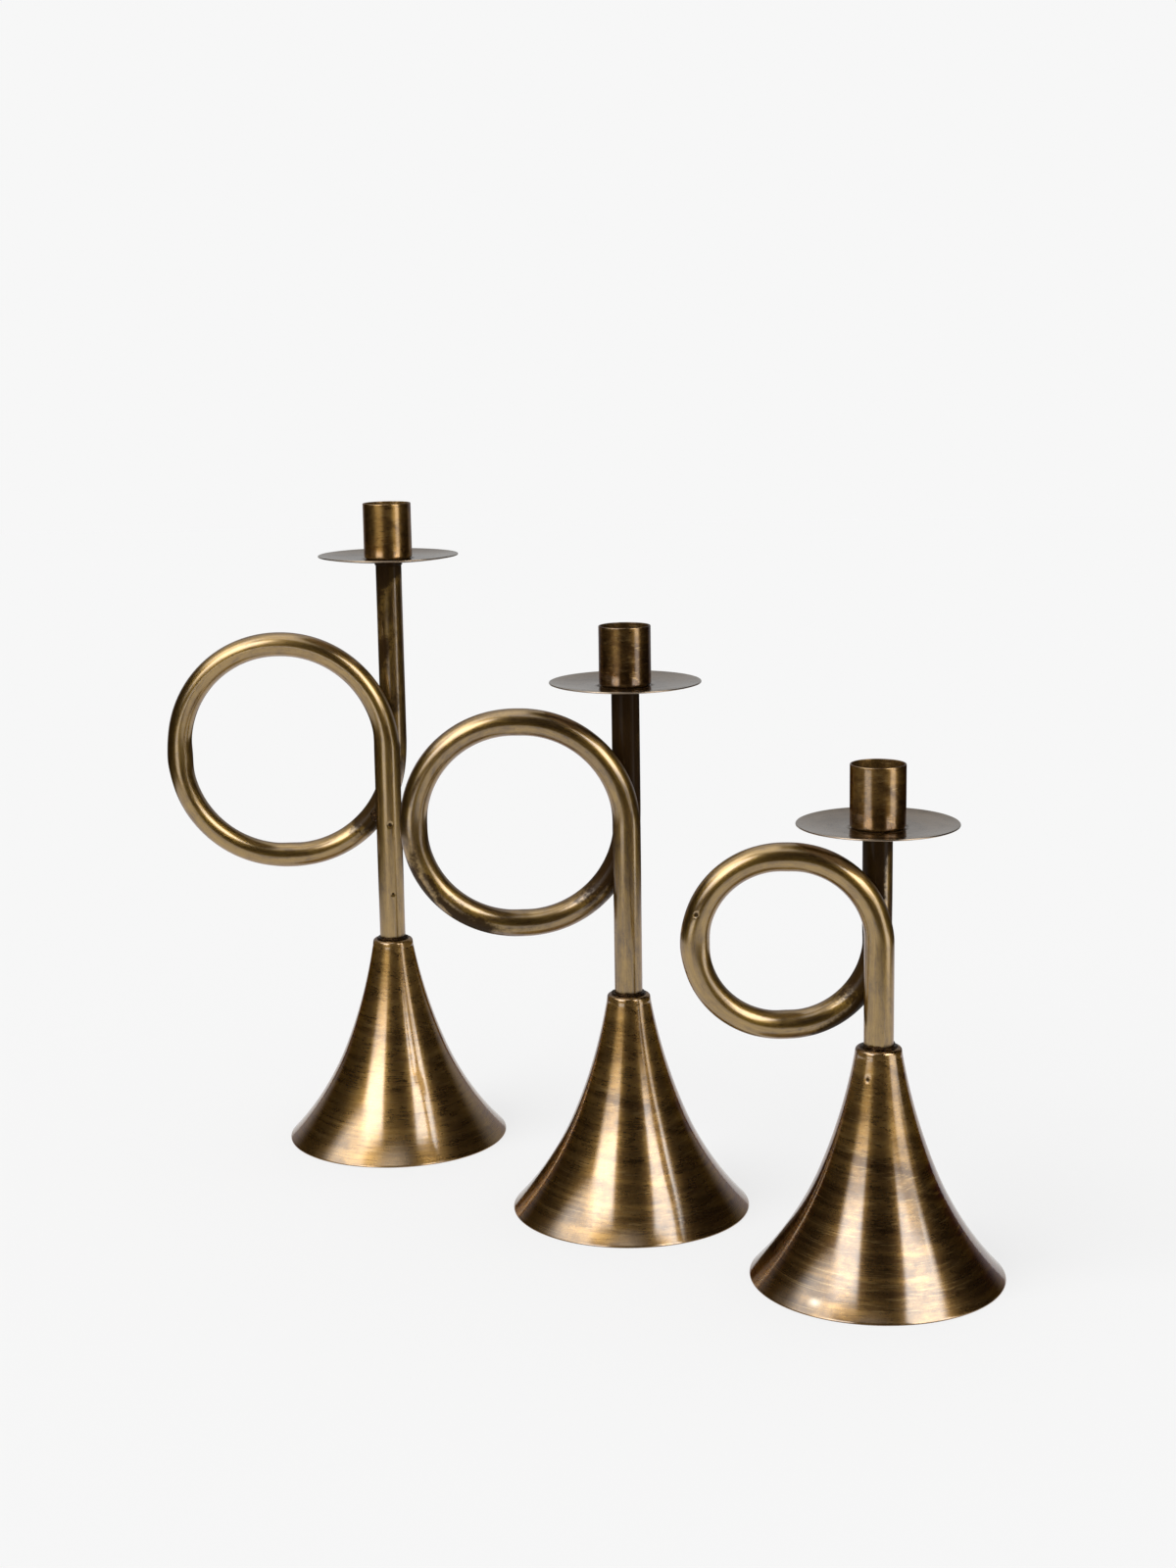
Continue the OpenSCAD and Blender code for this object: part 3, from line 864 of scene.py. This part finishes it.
def tack_piece(holder, material):
    """The weld tack in the notch between the strands: a lumpy ball, closed by triangles at its poles.

    A point stands off the middle by its direction, times 1 + lumps, times the CAD tack's half size.
    """
    low, high = corners(holder.node("weld_tack"))
    rows, columns, pole = 30, 48, 0.04
    turn = np.linspace(0, FULL_TURN, columns, endpoint=False)[None, :]
    tilt = np.linspace(pole, math.pi - pole, rows)[:, None]
    lump = 1 + 0.1 * waves(turn, 2 * tilt, 91, 12, 5)
    grid = (low + high) / 2 + ball(tilt, turn) * lump[..., None] * (high - low) / 2 * 0.92
    points = np.concatenate([grid.reshape(-1, 3), grid[0].mean(0)[None], grid[-1].mean(0)[None]])
    quads = grid_quads(rows, columns, False)[:, (0, 3, 2, 1)]
    around = np.arange(columns)
    after, last = (around + 1) % columns, (rows - 1) * columns
    top, bottom = np.full(columns, rows * columns), np.full(columns, rows * columns + 1)
    caps = [*zip(top, around, after), *zip(last + after, last + around, bottom)]
    return mesh_piece(holder, "tack", points, [*quads, *caps], material)


# Materials

def feed(tree, node, values):
    """Links or sets the sockets that values name."""
    for socket, value in values.items():
        if isinstance(value, bpy.types.NodeSocket):
            tree.links.new(value, node.inputs[socket])
        else:
            node.inputs[socket].default_value = value


def add(tree, kind, values=None, **settings):
    """Adds a shader node, sets what settings name, and links or sets its sockets."""
    node = tree.nodes.new("ShaderNode" + kind)
    for key, value in settings.items():
        setattr(node, key, value)
    feed(tree, node, values or {})
    return node


def blend(tree, factor, first, second):
    """A colour between two others, by a factor."""
    mix = add(tree, "Mix", {"Factor": factor}, data_type="RGBA", blend_type="MIX")
    for name, value in (("A", first), ("B", second)):
        socket = next(k for k, s in enumerate(mix.inputs) if s.name == name and s.type == "RGBA")
        feed(tree, mix, {socket: value if isinstance(value, bpy.types.NodeSocket) else (*value[:], 1)})
    return next(s for s in mix.outputs if s.type == "RGBA")


def maths(tree, operation, first, second=0.0, clamp=False):
    """One sum on one or two values, held between 0 and 1 if clamp is set."""
    return add(tree, "Math", {0: first, 1: second}, operation=operation, use_clamp=clamp).outputs[0]


def total(tree, *terms):
    """A weighted sum of values: each term is (value, weight)."""
    result = 0.0
    for value, weight in terms:
        result = maths(tree, "ADD", maths(tree, "MULTIPLY", value, weight), result)
    return result


def spread(tree, value, low, high, to_low=0.0, to_high=1.0):
    """A value taken from one range to another and held at its ends, with a soft start and stop."""
    return add(tree, "MapRange", {"Value": value, "From Min": low, "From Max": high,
                                  "To Min": to_low, "To Max": to_high},
               interpolation_type="SMOOTHSTEP").outputs["Result"]


def streak_noise(tree, cells, detail=3.0, rough=0.6, lean=(0.0, 0.0), shift=(0, 0, 0), warp=0.0):
    """Noise on the piece's grain, drawn out into streaks.

    cells are the number of cells per metre along and round the piece. The place along it is taken
    as along + lean . (the two coordinates round it), which slants the streaks without a seam.
    """
    grain = add(tree, "Attribute", attribute_name="grain").outputs["Vector"]
    slanted = add(tree, "VectorMath", {0: grain, 1: (1, *lean)}, operation="DOT_PRODUCT")
    parts = add(tree, "SeparateXYZ", {0: grain}).outputs
    place = add(tree, "CombineXYZ", {"X": slanted.outputs["Value"], "Y": parts["Y"], "Z": parts["Z"]})
    along, around = cells
    scaled = add(tree, "Mapping", {"Vector": place.outputs[0], "Scale": (along, around, around),
                                   "Location": shift})
    noise = add(tree, "TexNoise", {"Vector": scaled.outputs[0], "Scale": 1.0, "Detail": detail,
                                   "Roughness": rough, "Distortion": warp})
    return noise.outputs[0]


def object_noise(tree, per_metre, detail=3.0, rough=0.6):
    """Noise on the Object coordinates, with a number of cells per metre."""
    place = add(tree, "TexCoord").outputs["Object"]
    noise = add(tree, "TexNoise", {"Vector": place, "Scale": per_metre, "Detail": detail,
                                   "Roughness": rough})
    return noise.outputs[0]


def bumps(tree, height, distance, strength=1.0):
    """A normal tilted by a height between 0 and 1, which stands for a distance in metres."""
    return add(tree, "Bump", {"Height": height, "Strength": strength, "Distance": distance}).outputs[0]


def new_material(name):
    """A material whose Principled shader stands alone in its tree, ready for its sockets."""
    material = bpy.data.materials.new(name)
    material.use_nodes = True
    tree = material.node_tree
    return material, tree, tree.nodes["Principled BSDF"]


class Brushing:
    """How one kind of piece is brushed and stained.

    lines, scratches and clouds are cells per metre along and round the piece, lean slants the
    scratches, rough is the lowest and highest roughness, relief the height of the lines in metres,
    drawn how far they draw out the highlights, marked how strongly the lines show as colour, coat
    the weight and roughness of the lacquer, stained how dark the clouds of stain get, and turned
    the share of a turn from the piece's length to the way the highlights are drawn out.
    """

    marked, coat, stained, turned = 1.0, (1.0, 0.12), 1.0, 0.0

    def __init__(self, **settings):
        for name, value in settings.items():
            setattr(self, name, value)


BRUSHINGS = {
    "bell_brass": Brushing(
        lines=(1900, 56), scratches=(700, 34), lean=(0.4, 0.25), clouds=(130, 26),
        rough=(0.24, 0.36), relief=0.008 * MM, drawn=0.6, marked=1.35, coat=(1.0, 0.1)),
    "tube_brass": Brushing(
        lines=(60, 700), scratches=(80, 260), lean=(1.2, 0.8), clouds=(60, 100),
        rough=(0.28, 0.32), relief=0.0002 * MM, drawn=0.65, marked=0.7, coat=(1.0, 0.17),
        stained=0.9, turned=0.25),
    "collar_brass": Brushing(
        lines=(3000, 80), scratches=(800, 80), lean=(0.2, 0.1), clouds=(300, 60),
        rough=(0.3, 0.45), relief=0.004 * MM, drawn=0.6),
    "pan_brass": Brushing(
        lines=(2400, 90), scratches=(900, 90), lean=(0.15, 0.1), clouds=(160, 40),
        rough=(0.18, 0.28), relief=0.003 * MM, drawn=0.5, marked=0.8, coat=(1.0, 0.08)),
    "cup_brass": Brushing(
        lines=(1500, 110), scratches=(520, 70), lean=(0.2, 0.15), clouds=(140, 50),
        rough=(0.27, 0.38), relief=0.006 * MM, drawn=0.6, marked=1.3, coat=(0.65, 0.12)),
}


def antique_brass(name, finish, base, dark, edge):
    """Aged brass under clear lacquer: brush lines, slanting scratches, clouds of stain, blackening,
    painted shade and a painted glint.

    base and dark are the clean and the stained colour, and edge tints what is seen at a slant. The
    stain follows the clouds and breaks up along the brush lines; the lines also change the
    roughness and stand in relief.
    """
    brushing = BRUSHINGS[name]
    material, tree, shader = new_material(name)
    patina = add(tree, "Attribute", attribute_name="patina").outputs["Vector"]
    soot_and_shade, stain, rubbed = add(tree, "SeparateXYZ", {0: patina}).outputs
    lean = np.array(brushing.lean)
    fine = streak_noise(tree, brushing.lines, 3.0, 0.65)
    scratch = streak_noise(tree, brushing.scratches, 2.0, 0.6, lean, (3, 1, 2))
    counter = streak_noise(tree, brushing.scratches, 2.0, 0.6, -lean, (7, 5, 9))
    cloud = streak_noise(tree, brushing.clouds, 4.0, 0.62, lean / 2, (1, 4, 8), 0.6)
    mottle = object_noise(tree, 160.0, 4.0, 0.65)
    grit = object_noise(tree, 900.0, 2.0, 0.6)
    speck = object_noise(tree, 1300.0, 2.0, 0.5)

    # Clouds of stain
    clouded = total(tree, (cloud, 0.42), (mottle, 0.2), (scratch, 0.2), (fine, 0.18), (stain, 0.22))
    colour = blend(tree, spread(tree, clouded, 0.5, 0.74, 0.0, brushing.stained), base, dark)

    # Brush lines and scratches, rubbed bright on their crests and dark in between
    marks = total(tree, (fine, 0.43), (scratch, 0.32), (counter, 0.17), (grit, 0.08))
    crests, hollows = spread(tree, marks, 0.5, 0.66), spread(tree, marks, 0.36, 0.49, 1.0, 0.0)
    colour = blend(tree, maths(tree, "MULTIPLY", crests, 0.5 * brushing.marked), colour, finish.bright)
    colour = blend(tree, maths(tree, "MULTIPLY", hollows, 0.6 * brushing.marked), colour, dark)

    # Black specks; blackening with a broken edge, which also paints shade in hollows and where parts meet;
    # and a pale painted glint
    specks = spread(tree, total(tree, (speck, 1.0), (mottle, 0.25), (stain, 0.05)), 0.8, 0.88)
    colour = blend(tree, maths(tree, "MULTIPLY", specks, 0.35 * brushing.stained), colour, finish.black)
    sooted_and_shaded = spread(tree, total(tree, (soot_and_shade, 1.0), (mottle, 0.8), (grit, 0.5)), 0.75, 1.3, 0.0, 0.94)
    colour = blend(tree, sooted_and_shaded, colour, finish.black)
    colour = blend(tree, rubbed, colour, finish.painted_glint)

    bare = maths(tree, "SUBTRACT", 1.0, sooted_and_shaded)
    low, high = brushing.rough
    roughness = spread(tree, total(tree, (marks, 0.6), (mottle, 0.4)), 0.38, 0.62, low, high)
    coat_weight, coat_rough = brushing.coat
    feed(tree, shader, {
        "Base Color": colour,
        "Metallic": bare,
        "Roughness": maths(tree, "ADD", roughness, maths(tree, "MULTIPLY", sooted_and_shaded, 0.15), True),
        "Specular IOR Level": 0.1,
        "Specular Tint": (*edge[:], 1),
        "Anisotropic": brushing.drawn,
        "Anisotropic Rotation": brushing.turned,
        "Tangent": add(tree, "Attribute", attribute_name="along").outputs["Vector"],
        "Coat Weight": maths(tree, "MULTIPLY", bare, finish.lacquer * coat_weight),
        "Coat Roughness": coat_rough,
        "Coat IOR": finish.lacquer_ior,
        "Normal": bumps(tree, total(tree, (fine, 0.6), (scratch, 0.4)), brushing.relief),
    })
    return material


def braze_metal(finish):
    """Blackened braze with shiny specks, where flux has burnt on."""
    material, tree, shader = new_material("braze_metal")
    coarse = object_noise(tree, 900.0)
    shine = spread(tree, object_noise(tree, 3000.0), 0.5, 0.62)
    feed(tree, shader, {
        "Base Color": blend(tree, shine, finish.black, finish.umber),
        "Metallic": 0.9,
        "Roughness": spread(tree, coarse, 0.35, 0.65, 0.15, 0.5),
        "Normal": bumps(tree, coarse, 0.4 * MM),
    })
    return material


def screw_metal(finish):
    """Bare turned brass for the screw heads, on Object coordinates only."""
    material, tree, shader = new_material("screw_brass")
    blotch = object_noise(tree, 400.0)
    feed(tree, shader, {
        "Base Color": blend(tree, spread(tree, blotch, 0.4, 0.65), finish.brass, finish.umber),
        "Metallic": 1.0,
        "Roughness": spread(tree, blotch, 0.35, 0.65, 0.22, 0.42),
        "Normal": bumps(tree, object_noise(tree, 2500.0), 0.05 * MM, 0.6),
    })
    return material


# Operators, one for each piece or group of like pieces

class HolderOperator:
    """What the operators share: they can be undone, and sets of pieces are made in one way."""

    bl_options = {"REGISTER", "UNDO"}

    def make_set(self, context, build, brushing, base="brass", dark="umber", edge="edge"):
        """Makes a piece for each holder in antique brass, of the colours that the finish names."""
        sizes, finish = context.scene.candle_sizes, context.scene.candle_finish
        colours = [getattr(finish, colour) for colour in (base, dark, edge)]
        material = antique_brass(brushing, finish, *colours)
        for name in HOLDERS:
            build(Holder(name), sizes, material)
        return {"FINISHED"}


class CANDLE_OT_bells(HolderOperator, bpy.types.Operator):
    """Spin the bells that the holders stand on"""

    bl_idname = "candle.bells"
    bl_label = "Spin the Bells"

    def execute(self, context):
        return self.make_set(context, bell_piece, "bell_brass")


class CANDLE_OT_tubes(HolderOperator, bpy.types.Operator):
    """Bend the looped tubes"""

    bl_idname = "candle.tubes"
    bl_label = "Bend the Tubes"

    def execute(self, context):
        return self.make_set(context, tube_piece, "tube_brass", base="olive")


class CANDLE_OT_plugs(HolderOperator, bpy.types.Operator):
    """Turn the plugs, whose collars show under the pans"""

    bl_idname = "candle.plugs"
    bl_label = "Turn the Plugs"

    def execute(self, context):
        return self.make_set(context, plug_piece, "collar_brass", base="umber", dark="black")


class CANDLE_OT_pans(HolderOperator, bpy.types.Operator):
    """Spin the dished drip pans"""

    bl_idname = "candle.pans"
    bl_label = "Spin the Pans"

    def execute(self, context):
        return self.make_set(context, pan_piece, "pan_brass", base="pan", edge="pan_edge")


class CANDLE_OT_cups(HolderOperator, bpy.types.Operator):
    """Draw the candle cups"""

    bl_idname = "candle.cups"
    bl_label = "Draw the Cups"

    def execute(self, context):
        return self.make_set(context, cup_piece, "cup_brass")


class CANDLE_OT_screws(HolderOperator, bpy.types.Operator):
    """Give the screws in the cups their bare brass"""

    bl_idname = "candle.screws"
    bl_label = "Finish the Screws"

    def execute(self, context):
        material = screw_metal(context.scene.candle_finish)
        for name in HOLDERS:
            screw = frame["nodes"][Holder(name).node("cup_screw")]
            screw.data.materials.clear()
            screw.data.materials.append(material)
        return {"FINISHED"}


class CANDLE_OT_braze(HolderOperator, bpy.types.Operator):
    """Run the braze round the tubes' feet, and the tack between the tall holder's strands"""

    bl_idname = "candle.braze"
    bl_label = "Run the Braze"

    def execute(self, context):
        sizes = context.scene.candle_sizes
        material = braze_metal(context.scene.candle_finish)
        for name in HOLDERS:
            bead_piece(Holder(name), sizes, material)
        tack_piece(Holder("tall"), material)
        return {"FINISHED"}


# The studio: floor, sheets of light, camera

DEGREE = math.radians(1)

# How high the sheets of light reach in metres, and their highest elevation in degrees
CEILING, HIGHEST = 2.9, 89.6

# Half the width of the table's soft edge, and the height of the picture in pixels
TABLE_EDGE, PICTURE_H = 0.05, 1600

# The sheets of light round the table, seen only in the metal. Angles are in degrees from the middle
# of the table, azimuth from the front with + to the right, each as (start, end, softness there and
# there); then the distance in metres at the two ends, and the brightness
SHEETS = {
    "left_window": ((-60, -27, 12, 6), (22, 53, 24, 13), (1.5, 1.8), 6.0),
    "left_ceiling": ((-98, -58, 26, 14), (37, 68, 10, 10), (1.5, 1.6), 3.0),
    "right_window": ((33, 66, 5, 6), (20, 57, 14, 8), (1.6, 0.68), 5.4),
    "right_sill": ((46, 65, 8, 8), (-4, 26, 6, 10), (1.3, 0.7), 1.9),
    "back_left": ((-215, -136, 20, 20), (-3, 34, 6, 16), (1.8, 1.8), 0.4),
    "back_right": ((132, 215, 24, 20), (-3, 34, 6, 16), (1.8, 1.8), 0.36),
    "ceiling": ((-185, 10, 30, 60), (62, 89.5, 12, 0.1), (1.7, 1.7), 1.5),
    "left_low": ((-50, -22, 12, 10), (0.5, 9, 0.5, 4), (0.75, 0.75), 2.2),
    "right_low": ((50, 72, 10, 8), (0.5, 9, 0.5, 4), (0.75, 0.6), 2.2),
    "back_high": ((-200, -110, 30, 30), (36, 66, 14, 8), (1.9, 1.9), 0.75),
}


def stage_mesh(name, vertices, faces, material, seen=True):
    """A mesh that belongs to the stage, and that shows only in the metal if it isn't to be seen."""
    mesh = bpy.data.meshes.new(name)
    mesh.from_pydata(vertices, [], faces)
    mesh.materials.append(material)
    piece = place_object(name, mesh)
    if not seen:
        for rays in ("camera", "diffuse", "transmission", "shadow"):
            setattr(piece, "visible_" + rays, False)
    return piece


def glow(tree, strength, tint=(1, 1, 1)):
    """A surface that gives light."""
    return add(tree, "Emission", {"Color": (*tint[:], 1), "Strength": strength}).outputs[0]


def mixed(tree, share, first, second):
    """A share of the second surface over the first."""
    return add(tree, "MixShader", {0: share, 1: first, 2: second}).outputs[0]


def surface_output(tree, surface):
    """Links a surface to the material's output."""
    tree.links.new(surface, tree.nodes["Material Output"].inputs["Surface"])


def from_origin(tree):
    """The Object coordinates and their distance from the origin, in the middle of the table."""
    place = add(tree, "TexCoord").outputs["Object"]
    return place, add(tree, "VectorMath", {0: place}, operation="LENGTH").outputs["Value"]


def floor_material(studio):
    """A pale floor: mostly an even glow of the backdrop's brightness, partly lit, so that it keeps
    a faint shadow. In the metal it ends at the table's edge, with the dark room beyond.

    The lit part's colour is the backdrop's brightness over the light that falls on it, so that
    both parts agree where nothing stands in the light.
    """
    material, tree, shader = new_material("floor_paper")
    light = studio.backdrop + studio.key * math.cos(studio.key_tilt) / math.pi
    paper = studio.backdrop / light
    feed(tree, shader, {"Base Color": (paper, paper, paper, 1), "Roughness": 1.0,
                        "Specular IOR Level": 0.0})
    _, distance = from_origin(tree)
    beyond = spread(tree, distance, studio.table_r - TABLE_EDGE, studio.table_r + TABLE_EDGE)
    in_metal = add(tree, "LightPath").outputs["Is Glossy Ray"]
    lit = mixed(tree, studio.shadow, glow(tree, studio.backdrop), shader.outputs[0])
    gloom = glow(tree, studio.gloom, studio.gloom_tint)
    surface_output(tree, mixed(tree, maths(tree, "MULTIPLY", beyond, in_metal), lit, gloom))
    return material


def ramp(tree, value, span):
    """1 where a value lies inside (start, end, softness there and there), 0 outside; in radians."""
    start, end, soft_start, soft_end = (angle * DEGREE for angle in span)
    rise = spread(tree, value, start - soft_start / 2, start + soft_start / 2)
    fall = spread(tree, value, end - soft_end / 2, end + soft_end / 2, 1.0, 0.0)
    return maths(tree, "MULTIPLY", rise, fall)


def sheet_material(name, across, upward, brightness):
    """Light that fades out towards the sheet's sides.

    azimuth = atan2(x, -y), measured from the sheet's own middle so that no seam falls in it;
    elevation = asin(z / distance).
    """
    material, tree, shader = new_material(name)
    tree.nodes.remove(shader)
    middle = (across[0] + across[1]) / 2
    place, distance = from_origin(tree)
    height = add(tree, "SeparateXYZ", {0: place}).outputs["Z"]
    elevation = maths(tree, "ARCSINE", maths(tree, "DIVIDE", height, distance))
    facing = add(tree, "VectorRotate", {"Vector": place, "Angle": -middle * DEGREE},
                 rotation_type="Z_AXIS")
    x, y, _ = add(tree, "SeparateXYZ", {0: facing.outputs[0]}).outputs
    azimuth = maths(tree, "ARCTAN2", x, maths(tree, "MULTIPLY", y, -1.0))
    centred = (across[0] - middle, across[1] - middle, *across[2:])
    share = maths(tree, "MULTIPLY", ramp(tree, azimuth, centred), ramp(tree, elevation, upward))
    clear = add(tree, "BsdfTransparent").outputs[0]
    surface_output(tree, mixed(tree, share, clear, glow(tree, brightness)))
    return material


def light_sheet(name, across, upward, distances, brightness):
    """A curved sheet of light: x = d sin(azimuth), y = -d cos(azimuth), z = d tan(elevation).

    The distance d changes evenly from one side to the other, and is cut down so that z stays under
    the ceiling.
    """
    columns, rows = 40, 24
    azimuth = np.linspace(across[0] - across[2], across[1] + across[3], columns)[None, :] * DEGREE
    highest = min(upward[1] + upward[3], HIGHEST)
    elevation = np.linspace(upward[0] - upward[2], highest, rows)[:, None] * DEGREE
    distance = np.minimum(np.linspace(*distances, columns)[None, :],
                          CEILING / np.tan(np.abs(elevation) + 1e-3))
    points = np.stack([distance * np.sin(azimuth), -distance * np.cos(azimuth),
                       distance * np.tan(elevation)], -1).reshape(-1, 3)
    quads = grid_quads(rows, columns, False, False)
    stage_mesh(name, points, quads, sheet_material(name, across, upward, brightness), seen=False)


def dark_room(studio):
    """A dim ball round everything, which only shows in the metal."""
    rows, columns, pole = 24, 48, 0.01
    turn = np.linspace(0, FULL_TURN, columns, endpoint=False)[None, :]
    tilt = np.linspace(pole, math.pi - pole, rows)[:, None]
    points = studio.room_r * ball(tilt, turn).reshape(-1, 3)
    material, tree, shader = new_material("gloom")
    tree.nodes.remove(shader)
    surface_output(tree, glow(tree, studio.gloom, studio.gloom_tint))
    stage_mesh("dark_room", points, grid_quads(rows, columns, False), material, seen=False)


def key_sun(studio):
    """A broad sun from the left front, for the soft shadows. Its beam runs along its own -Z."""
    data = bpy.data.lights.new("key", "SUN")
    data.energy, data.angle = studio.key, studio.key_angle
    lamp = place_object("key", data)
    lamp.visible_glossy = False
    lamp.matrix_world = (Matrix.Rotation(studio.key_azimuth, 4, "Z")
                         @ Matrix.Rotation(studio.key_tilt, 4, "X"))


def pale_world(studio):
    """A plain pale world behind everything."""
    world = bpy.data.worlds.new("studio")
    bpy.context.scene.world = world
    world.use_nodes = True
    feed(world.node_tree, world.node_tree.nodes["Background"],
         {"Color": (1, 1, 1, 1), "Strength": studio.backdrop})


def set_camera(studio):
    """The camera, from its place, pitch and roll: x right, y up and z back in its own frame."""
    pitch, roll = studio.camera_pitch, studio.camera_roll
    ahead = np.array([0, math.cos(pitch), -math.sin(pitch)])
    right = np.array([1.0, 0, 0])
    up = np.cross(right, ahead)
    rolled_right = math.cos(roll) * right + math.sin(roll) * up
    rolled_up = math.cos(roll) * up - math.sin(roll) * right
    facing = Matrix(np.stack([rolled_right, rolled_up, -ahead], -1).tolist()).to_4x4()
    data = bpy.data.cameras.new("camera")
    data.sensor_fit = "AUTO"
    data.sensor_width = 36
    data.lens = studio.focal_pixels / PICTURE_H * data.sensor_width
    data.clip_start, data.clip_end = 0.05, 50
    camera = place_object("camera", data)
    camera.matrix_world = Matrix.Translation(studio.camera_place) @ facing
    bpy.context.scene.camera = camera


class CANDLE_OT_stage(HolderOperator, bpy.types.Operator):
    """Set the floor, the light and the camera"""

    bl_idname = "candle.stage"
    bl_label = "Set the Stage"

    def execute(self, context):
        studio = context.scene.candle_studio
        half = studio.floor_w / 2
        edges = [(-half, -half, 0), (half, -half, 0), (half, half, 0), (-half, half, 0)]
        stage_mesh("floor", edges, [(0, 1, 2, 3)], floor_material(studio))
        dark_room(studio)
        for name, sheet in SHEETS.items():
            light_sheet(name, *sheet)
        key_sun(studio)
        pale_world(studio)
        set_camera(studio)
        context.scene.view_settings.view_transform = "Standard"
        return {"FINISHED"}


PIECE_OPERATORS = (CANDLE_OT_bells, CANDLE_OT_tubes, CANDLE_OT_plugs, CANDLE_OT_pans,
                   CANDLE_OT_cups, CANDLE_OT_screws, CANDLE_OT_braze)


class CANDLE_PT_panel(bpy.types.Panel):
    """Lists the pieces in the sidebar of the 3D view"""

    bl_idname = "CANDLE_PT_panel"
    bl_label = "Candle Holders"
    bl_space_type = "VIEW_3D"
    bl_region_type = "UI"
    bl_category = "Candle Holders"

    def draw(self, context):
        column = self.layout.column(align=True)
        for operator in (*PIECE_OPERATORS, CANDLE_OT_stage):
            column.operator(operator.bl_idname)


CLASSES = (HolderSizes, BrassFinish, StudioSettings, *PIECE_OPERATORS, CANDLE_OT_stage, CANDLE_PT_panel)


def register():
    for cls in CLASSES:
        bpy.utils.register_class(cls)
    bpy.types.Scene.candle_sizes = PointerProperty(type=HolderSizes)
    bpy.types.Scene.candle_finish = PointerProperty(type=BrassFinish)
    bpy.types.Scene.candle_studio = PointerProperty(type=StudioSettings)


def unregister():
    del bpy.types.Scene.candle_sizes, bpy.types.Scene.candle_finish, bpy.types.Scene.candle_studio
    for cls in reversed(CLASSES):
        bpy.utils.unregister_class(cls)


def main():
    """Makes every piece and the stage."""
    register()
    bpy.ops.candle.bells()
    bpy.ops.candle.tubes()
    bpy.ops.candle.plugs()
    bpy.ops.candle.pans()
    bpy.ops.candle.cups()
    bpy.ops.candle.screws()
    bpy.ops.candle.braze()
    bpy.ops.candle.stage()


if __name__ == "__main__":
    main()
